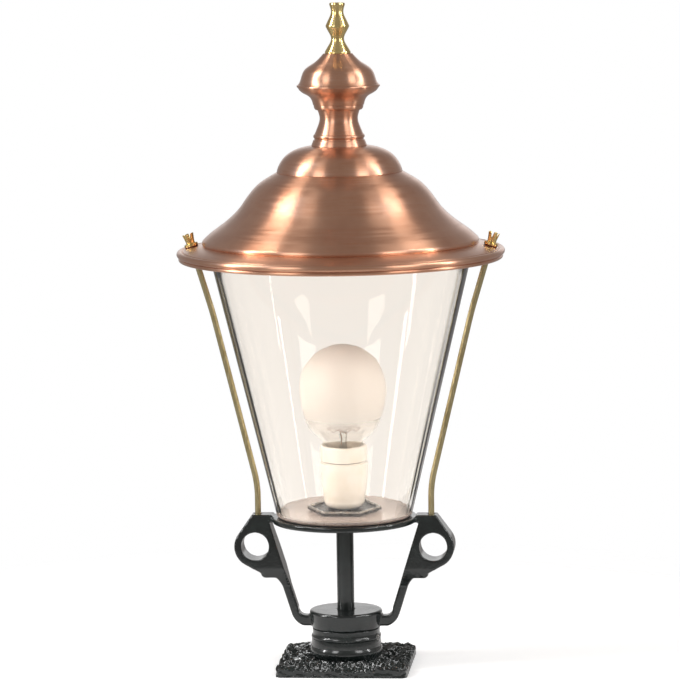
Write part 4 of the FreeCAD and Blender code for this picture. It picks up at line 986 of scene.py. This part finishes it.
class LANTERN_OT_bulb(bpy.types.Operator):
    """Blow the bulb, with its screw cap, glass mount and filament"""
    bl_idname = "lantern.bulb"
    bl_label = "Bulb"

    def execute(self, context):
        low = foot("bulb_globe")
        radius = reach("bulb_globe")
        centre = top("bulb_globe") - radius
        outer = globe_run(radius, 12.9, low, centre)
        inner = globe_run(radius - 0.8, 12.1, low, centre)
        globe = turned("globe", joined(outer, inner[::-1]), 128)
        place("blown_globe", globe, "bulb", ["bulb_globe"], MATERIALS["bulb"])
        cap_low, cap_high = foot("bulb_cap"), top("bulb_cap")
        depth = context.scene.lantern_light.thread_depth / MM
        cap = threaded("cap", cap_low, cap_high, 13.0, depth, 0.3, cap_low + 1.0, cap_high - 4.0, 8.0)
        place("rolled_cap", cap, "bulb", ["bulb_cap"], MATERIALS["cap"])
        foot_low, foot_high = foot("bulb_contact"), top("bulb_contact")
        tip = 5.0
        contact = [(0.0, foot_low), (tip, foot_low), (tip, foot_low + 2.6), (12.0, foot_high),
                   (0.0, foot_high)]
        place("glass_foot", turned("contact", softened(contact, 0.6), 64), "bulb_foot",
              ["bulb_contact"], MATERIALS["black"])
        self.mount(foot("bulb_stem"), top("bulb_stem"))
        self.filament(top("bulb_stem"))
        return {"FINISHED"}

    def mount(self, low, high):
        """A flare, a stem and the pressed blob that the wires stand in."""
        flare = arc((12.4, low + 1.0), (6.7, low + 4.3), (4.5, low + 12.0))
        stem = spline([(4.5, low + 12.0), (3.6, low + 19.0), (3.4, low + 24.0), (4.5, high - 4.5)], 20)
        blob = arc((4.5, high - 4.5), (3.18, high - 1.32), (0.0, high))
        outline = joined((0.0, low), (12.4, low), flare, stem, blob)
        place("pressed_mount", turned("mount", outline, 64), "bulb", ["bulb_stem"],
              MATERIALS["mount"])

    def filament(self, foot_level):
        """A coiled wire hung in loops between supports that fan out of the mount, and two leads. The
        coil is drawn as a wavy ring, with one wave to each support."""
        ring, level, supports, gap = 17.5, foot_level + 3.4, 7, 0.12
        a = np.linspace(gap, TURN - gap, 280)
        swing = np.cos(a * supports)
        out = ring - 1.2 + 1.2 * swing
        path = np.stack([out * np.cos(a), out * np.sin(a), level - 1.5 + 1.5 * swing], 1)
        parts = [(path, 0.3)]
        for angle in turns(supports):
            direction = np.array([math.cos(angle), math.sin(angle), 0.0])
            start, end = np.array([0, 0, foot_level - 1.0]), direction * ring + [0, 0, level]
            elbow = direction * ring * 0.5 + [0, 0, level - 1.0]
            parts.append((spline([start, elbow, end], 12), 0.22))
        for side in (-1.0, 1.0):
            lead = [(side * 1.8, 0.0, foot_level - 14.0), (side * 2.2, 0.0, foot_level - 3.0),
                    (side * 4.0, -1.5, foot_level + 1.0), (side * 2.0 + 14.0, side * 1.9, level)]
            parts.append((spline(lead, 24), 0.32))
        meshes = [swept("wire", path, thick, 8) for path, thick in parts]
        place("hung_filament", united("filament", meshes), "bulb", ["bulb_filament"],
              MATERIALS["wire"])


def united(name, meshes):
    """Several meshes as one."""
    points, faces, count = [], [], 0
    for mesh in meshes:
        points.append(coordinates(mesh) / MM)
        faces += [[count + v for v in polygon.vertices] for polygon in mesh.polygons]
        count += len(mesh.vertices)
    quads = [f for f in faces if len(f) == 4]
    return mesh_from(name, np.vstack(points), quads, [f for f in faces if len(f) == 3])


# ---------------------------------------------------------------- castings


def merged_copy(name, nodes):
    """CAD nodes as one mesh whose loose triangles are joined."""
    points, faces, count = [], [], 0
    for node in nodes:
        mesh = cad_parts[node].data
        index = np.empty(len(mesh.loops), np.int32)
        mesh.loops.foreach_get("vertex_index", index)
        points.append(coordinates(mesh))
        faces.append(index.reshape(-1, 3) + count)
        count += len(mesh.vertices)
    points = np.vstack(points)
    keys = np.round(points / 1e-6).astype(np.int64)
    _, first, where = np.unique(keys, axis=0, return_index=True, return_inverse=True)
    faces = where.ravel()[np.vstack(faces)]
    solid = (faces[:, 0] != faces[:, 1]) & (faces[:, 1] != faces[:, 2]) & (faces[:, 2] != faces[:, 0])
    return mesh_from(name, points[first] / MM, (), faces[solid])


def cast_from(name, nodes, voxel, smooth):
    """Iron castings from their solids: remade on a fine grid, then relaxed, so that every edge is rounded
    and every inner corner filled as in a sand mould."""
    mesh = applied(merged_copy(name, nodes),
                   ("REMESH", {"mode": "VOXEL", "voxel_size": voxel, "use_smooth_shade": True}),
                   ("SMOOTH", {"factor": 0.5, "iterations": smooth}))
    mesh.shade_smooth()
    return mesh


class LANTERN_OT_cradle(bpy.types.Operator):
    """Cast the cradle: hub, ring and the two arms with their eyes"""
    bl_idname = "lantern.cradle"
    bl_label = "Cradle casting"

    def execute(self, context):
        casting = context.scene.lantern_casting
        nodes = ["cradle_hub", "cradle_ring", "cradle_arm_right", "cradle_arm_left"]
        mesh = cast_from("cradle", nodes, casting.voxel, 3)
        place("cast_cradle", mesh, "base", nodes, MATERIALS["cast"])
        return {"FINISHED"}


class LANTERN_OT_stem(bpy.types.Operator):
    """Add the stem tube"""
    bl_idname = "lantern.stem"
    bl_label = "Stem tube"

    def execute(self, context):
        low, high = foot("stem_tube"), top("stem_tube")
        outline = softened([(6.2, low), (8.6, low), (8.6, high), (6.2, high)], 0.5)
        stem = turned("stem", outline, 64)
        place("piped_stem", stem, "base", ["stem_tube"], MATERIALS["stem"])
        return {"FINISHED"}


class LANTERN_OT_socket(bpy.types.Operator):
    """Cast the post socket and put in its set screws"""
    bl_idname = "lantern.socket"
    bl_label = "Post socket"

    def execute(self, context):
        low, high = foot("post_socket"), top("post_socket")
        ring = low + 20.5
        outline = joined((30.2, low), arc((35.0, low), (36.6, low + 5.5), (35.2, low + 11.0), 21),
                         (35.3, low + 14.5), (34.6, ring - 2.2),
                         arc((34.6, ring - 2.2), (35.2, ring), (34.2, ring + 2.2), 11), (33.8, ring + 4.5),
                         (34.0, high), (30.2, high))
        mesh = turned("socket", softened(outline, 0.6), 160)
        for side in (-1.0, 1.0):
            angle = math.radians(-20.0)
            along = side * np.array([math.cos(angle), math.sin(angle), 0.0])
            path = [along * reach_out + [0, 0, ring] for reach_out in (27.0, 33.0, 39.0)]
            mesh = cut(mesh, swept("screw hole", path, 3.05, 32))
        place("cast_socket", mesh, "base", ["post_socket"], MATERIALS["cast"])
        dress("socket_screws", MATERIALS["steel"])
        return {"FINISHED"}


def rough_cast(x, y, size):
    """Lumps and gullies of the rough top, from nought to one: ridges at two sizes, each one less the size
    of a warped noise, on broad lumps."""
    wx = x + 0.55 * size * noise2(x / size * 0.7, y / size * 0.7, 11)
    wy = y + 0.55 * size * noise2(x / size * 0.7 + 9.0, y / size * 0.7, 12)
    u, v = (wx + 0.5 * wy) / size, (wy * 1.6 - 0.3 * wx) / size
    ridge = 1.0 - np.abs(noise2(u, v, 3)) * 2.2
    fine = 1.0 - np.abs(noise2(u * 2.1 + 5.0, v * 2.1, 4)) * 2.2
    lump = 0.5 + noise2(u * 0.6, v * 0.6, 5)
    sharp = 0.5 * np.clip(ridge, 0, 1) ** 1.5 + 0.22 * np.clip(fine, 0, 1) ** 1.5
    return np.clip(sharp + 0.45 * lump - 0.1, 0.0, 1.0)


class LANTERN_OT_foot_plate(bpy.types.Operator):
    """Cast the square foot plate with its rough top"""
    bl_idname = "lantern.foot_plate"
    bl_label = "Foot plate"

    def execute(self, context):
        casting = context.scene.lantern_casting
        height, size = casting.relief / MM, casting.relief_size / MM
        half, high = reach("foot_plate"), top("foot_plate")
        steps, across, bore, collar = 640, 96, 30.2, 34.5
        angle = turns(steps)
        c, s = np.cos(angle), np.sin(angle)
        edge = half / (np.abs(c) ** 24 + np.abs(s) ** 24) ** (1 / 24)
        share = np.linspace(0.0, 1.0, across)
        radius = bore + (edge - bore)[:, None] * share[None, :]
        x, y = radius * c[:, None], radius * s[:, None]
        inset = np.clip((edge[:, None] - radius) / 7.0, 0.0, 1.0)
        clear_of_socket = np.clip((radius - collar) / 3.0, 0.0, 1.0)
        z = high - 1.0 + (rough_cast(x, y, size) * height - 2.6) * clear_of_socket
        z -= (1.0 - np.sqrt(1.0 - (1.0 - inset) ** 2)) * 2.4
        z = np.where(radius < collar, high - 0.02, z)
        side_share = np.linspace(0.0, 1.0, 12)[None, 1:]
        side_z = z[:, -1:] * (1 - side_share)
        bulge = np.sin(side_share * math.pi) ** 0.7
        wobble = noise2(angle[:, None] * 14.0, side_z / 4.0, 8) * 1.1
        side_r = edge[:, None] + (0.2 + wobble - 0.8) * bulge
        below = np.stack([edge - 0.4, np.full(steps, bore)], 1)
        radii = np.concatenate([radius, side_r, below], 1)
        heights = np.concatenate([z, side_z, np.zeros((steps, 2))], 1)
        points = np.stack([radii * c[:, None], radii * s[:, None], heights], -1)
        quads = grid_faces(*radii.shape, True, True)[:, ::-1]
        mesh = mesh_from("plate", points.reshape(-1, 3), quads, sharp=60.0)
        place("cast_foot_plate", mesh, "base", ["foot_plate"], MATERIALS["foot"])
        return {"FINISHED"}


# ---------------------------------------------------------------- rods and nuts


def rod_path():
    """Straight runs with an arc at each bend, from the arm's socket to over the brim."""
    arm = 87.5
    corners = np.array([(arm, 0.0, 146.6), (arm, 0.0, 184.5), SEAT - OUTWARDS * 69.0,
                        SEAT + OUTWARDS * 7.9])
    parts = [corners[:1]]
    for number, radius in ((1, 110.0), (2, 420.0)):
        corner = corners[number]
        back = corners[number - 1] - corner
        ahead = corners[number + 1] - corner
        back, ahead = back / np.linalg.norm(back), ahead / np.linalg.norm(ahead)
        half = (math.pi - math.acos(back @ ahead)) / 2.0
        trim = radius * math.tan(half)
        middle = (back + ahead) / np.linalg.norm(back + ahead) * (radius / math.cos(half) - radius)
        flat = [(corner + step)[[0, 2]] for step in (back * trim, middle, ahead * trim)]
        bend = arc(*flat, 15)
        parts.append(np.stack([bend[:, 0], np.zeros(15), bend[:, 1]], 1))
    parts.append(corners[-1:])
    return np.concatenate(parts)


def stood_on_rod(mesh, height):
    """Moves a mesh made upright on the origin to the right rod, that far over the brim."""
    x, y, z = coordinates(mesh).T
    c, s = math.cos(LEAN), math.sin(LEAN)
    out = np.stack([x * c + z * s, y, z * c - x * s], 1)
    out += (SEAT + OUTWARDS * height) * MM
    mesh.vertices.foreach_set("co", out.ravel().astype(np.float32))
    mesh.update()
    return mesh


def crown_nut_mesh(points_round):
    """A turned nut whose cup ends in blunt points: between two of them the rim falls to a round notch."""
    steps, bore, flange, cup, cup_low, floor = 240, 3.08, 6.9, 4.4, 2.3, 6.2
    saw = np.abs((turns(steps) * points_round / TURN) % 1.0 - 0.5) * 2.0
    share = np.clip((saw - 0.12) / 0.36, 0.0, 1.0)
    rim = 11.8 - 5.4 * (1.0 - share) ** 0.7 - 0.5 * (1.0 - saw)
    foot_part = softened([(flange, 0.0), (flange, 1.5), (cup, cup_low)], 0.3, closed=False)
    foot_r, foot_z = (np.broadcast_to(column, (steps, len(foot_part))) for column in foot_part.T)
    outer_z = cup_low + (rim[:, None] - cup_low) * np.linspace(0.0, 1.0, 14)[1:]
    outer_r = cup + 1.5 * ((outer_z - cup_low) / 9.5) ** 1.5
    inner_z = outer_z[:, ::-1]
    inner_r = np.minimum(np.maximum(outer_r[:, ::-1] - 1.1, bore), bore + 0.4 + (inner_z - floor) * 0.235)
    inner_r = np.where(inner_z < floor, bore, inner_r)
    radii = np.concatenate([foot_r, outer_r, inner_r, np.full((steps, 1), bore)], 1)
    heights = np.concatenate([foot_z, outer_z, inner_z, np.zeros((steps, 1))], 1)
    return ringed("crown nut", radii, heights, 42.0)


class LANTERN_OT_rods(bpy.types.Operator):
    """Bend the two tie rods"""
    bl_idname = "lantern.rods"
    bl_label = "Tie rods"

    def execute(self, context):
        right = swept("rod", rod_path(), 3.0, 32, sharp=60.0)
        for side, mesh in (("right", right), ("left", mirrored(right, "rod left"))):
            place("bent_rod_" + side, mesh, "base", ["tie_rod_" + side], MATERIALS["rod"])
        return {"FINISHED"}


class LANTERN_OT_crown_nuts(bpy.types.Operator):
    """Turn the crown nuts and their washers"""
    bl_idname = "lantern.crown_nuts"
    bl_label = "Crown nuts and washers"

    def execute(self, context):
        points_round = context.scene.lantern_rods.crown_points
        thick = 0.9
        narrow, wide = (softened([(3.35, 0.0), (outer, 0.0), (outer, thick), (3.35, thick)], 0.2)
                        for outer in (6.6, 7.2))
        rows = (("fibre_washer", "fibre", turned("fibre", narrow, 64), 0.1, "fibre", "fibre"),
                ("nut_washer", "washer", turned("washer", wide, 64), 1.0, "brass", "brass"),
                ("crown_nut", "nut", crown_nut_mesh(points_round), 1.9, "brass", "brass"))
        for node, body, mesh, height, slot, material in rows:
            right = stood_on_rod(mesh, height)
            for side, made in (("right", right), ("left", mirrored(right, node + " left"))):
                place("turned_%s_%s" % (node, side), made, "%s_%s" % (body, side),
                      ["%s_%s" % (node, side)], MATERIALS[material])
        return {"FINISHED"}


# ---------------------------------------------------------------- stage


def way_back(azimuth, elevation):
    """The direction from an aim point to what looks at it, from its angle round and over the horizon."""
    flat = math.cos(elevation)
    return Vector((math.sin(azimuth) * flat, -math.cos(azimuth) * flat, math.sin(elevation)))


def softbox(name, azimuth, elevation, distance, width, height, power, aim):
    """A rectangular lamp that faces the aim point, its long side upright."""
    data = bpy.data.lights.new(name, "AREA")
    data.shape, data.size, data.size_y, data.energy = "RECTANGLE", width, height, power
    lamp = thing(name, data)
    back = way_back(math.radians(azimuth), math.radians(elevation))
    lamp.location = Vector(aim) + back * distance
    lamp.rotation_euler = (-back).to_track_quat("-Z", "Y").to_euler()
    lamp.visible_camera = False


class LANTERN_OT_stage(bpy.types.Operator):
    """Set the floor, lights, world and camera"""
    bl_idname = "lantern.stage"
    bl_label = "Stage and camera"

    def execute(self, context):
        self.floor()
        self.world()
        aim = (0.0, 0.0, 0.36)
        softbox("front left softbox", -34.0, 22.0, 1.9, 0.6, 0.8, 7.5, aim)
        softbox("front right softbox", 50.0, 22.0, 1.9, 0.65, 0.8, 8.0, aim)
        softbox("left strip", -75.0, 30.0, 1.5, 0.12, 1.5, 17.0, aim)
        softbox("right strip", 84.0, 30.0, 1.5, 0.06, 1.5, 9.0, aim)
        self.camera(context.scene.lantern_view)
        context.scene.view_settings.view_transform = "Standard"
        return {"FINISHED"}

    def floor(self):
        """White paper that fades into the white world before its edge shows."""
        half = 1500.0
        corners = [(-half, -half, 0), (half, -half, 0), (half, half, 0), (-half, half, 0)]
        mesh = mesh_from("floor", corners, [(0, 1, 2, 3)])
        ground = thing("floor", mesh)
        material, tree, paper, where = finish("white paper sweep", linear("#F4F4F4"), Roughness=0.9)
        seen = add(tree, "ShaderNodeLightPath").outputs
        direct = maths(tree, "MAXIMUM", seen["Is Camera Ray"], seen["Is Transmission Ray"])
        glow = add(tree, "ShaderNodeEmission", {"Color": (1, 1, 1, 1), "Strength": 0.35}).outputs[0]
        lit = add(tree, "ShaderNodeAddShader", {0: paper.outputs[0], 1: glow}).outputs[0]
        both = add(tree, "ShaderNodeMixShader", {0: direct, 1: paper.outputs[0], 2: lit}).outputs[0]
        away = add(tree, "ShaderNodeVectorMath", {0: where}, operation="LENGTH").outputs["Value"]
        clear = add(tree, "ShaderNodeBsdfTransparent").outputs[0]
        show_mixed(tree, between(tree, away, 0.25, 0.7), both, clear)
        mesh.materials.append(material)

    def world(self):
        """White to the camera. Glass shows it white too, but for a grey room in front of and above the
        lantern. Metal shows the grey room, with white paper straight behind above the horizon."""
        world = bpy.data.worlds.new("studio")
        bpy.context.scene.world = world
        world.use_nodes = True
        tree = world.node_tree
        seen = add(tree, "ShaderNodeLightPath").outputs
        way = add(tree, "ShaderNodeSeparateXYZ",
                  {0: add(tree, "ShaderNodeTexCoord").outputs["Generated"]}).outputs
        room = maths(tree, "MULTIPLY", between(tree, way[1], 0.05, -0.2), between(tree, way[2], 0.06, 0.2))
        inside = maths(tree, "GREATER_THAN", seen["Transmission Depth"], 0.5)
        glass = maths(tree, "MAXIMUM", seen["Is Transmission Ray"], inside)
        through = maths(tree, "MULTIPLY", glass, maths(tree, "SUBTRACT", 1.0, room))
        behind = maths(tree, "MULTIPLY", between(tree, way[1], 0.9, 0.99),
                       between(tree, way[2], -0.04, 0.04))
        paper = maths(tree, "MULTIPLY", behind, seen["Is Glossy Ray"])
        white = maths(tree, "MAXIMUM", seen["Is Camera Ray"], maths(tree, "MAXIMUM", through, paper))
        tone = blend_colours(tree, white, linear("#989593"), (1, 1, 1, 1))
        tree.links.new(tone, tree.nodes["Background"].inputs["Color"])

    def camera(self, view):
        data = bpy.data.cameras.new("camera")
        sensor, focal_pixels, width_pixels = 36.0, 4000.0, 680.0
        data.sensor_width = sensor
        data.lens = sensor * focal_pixels / width_pixels
        camera = thing("camera", data)
        back = way_back(view.azimuth, view.elevation)
        right = Vector((math.cos(view.azimuth), math.sin(view.azimuth), 0.0))
        aim = Vector((0.0, 0.0, view.height)) - right * view.side
        camera.location = aim + back * view.distance
        turn = (-back).to_track_quat("-Z", "Y")
        turn.rotate(Quaternion(back, view.roll))
        camera.rotation_mode = "QUATERNION"
        camera.rotation_quaternion = turn
        data.clip_start, data.clip_end = 0.05, 60.0
        bpy.context.scene.camera = camera


# ---------------------------------------------------------------- panel and run


STEPS = ("stage", "hood", "finial", "fixings", "shade", "lampholder", "bulb", "cradle", "stem", "socket",
         "foot_plate", "rods", "crown_nuts")


class LANTERN_PT_panel(bpy.types.Panel):
    """Lists the lantern's pieces"""
    bl_idname = "LANTERN_PT_panel"
    bl_label = "Post Top Lantern"
    bl_space_type = "VIEW_3D"
    bl_region_type = "UI"
    bl_category = "Lantern"

    def draw(self, context):
        for group in GROUPS:
            settings = getattr(context.scene, group)
            for key in settings.__annotations__:
                self.layout.prop(settings, key)
        for step in STEPS:
            self.layout.operator("lantern." + step)


GROUPS = {"lantern_hood": LanternHood, "lantern_shade": LanternShade, "lantern_light": LanternLight,
          "lantern_casting": LanternCasting, "lantern_rods": LanternRods, "lantern_view": LanternView}
OPERATORS = (LANTERN_OT_stage, LANTERN_OT_hood, LANTERN_OT_finial, LANTERN_OT_fixings, LANTERN_OT_shade,
             LANTERN_OT_lampholder, LANTERN_OT_bulb, LANTERN_OT_cradle, LANTERN_OT_stem, LANTERN_OT_socket,
             LANTERN_OT_foot_plate, LANTERN_OT_rods, LANTERN_OT_crown_nuts)


def register():
    for kind in (*GROUPS.values(), *OPERATORS, LANTERN_PT_panel):
        bpy.utils.register_class(kind)
    for name, kind in GROUPS.items():
        setattr(bpy.types.Scene, name, PointerProperty(type=kind))


def unregister():
    for name in GROUPS:
        delattr(bpy.types.Scene, name)
    for kind in reversed((*GROUPS.values(), *OPERATORS, LANTERN_PT_panel)):
        bpy.utils.unregister_class(kind)


def main():
    register()
    make_materials(bpy.context.scene)
    for step in STEPS:
        getattr(bpy.ops.lantern, step)()


if __name__ == "__main__":
    main()
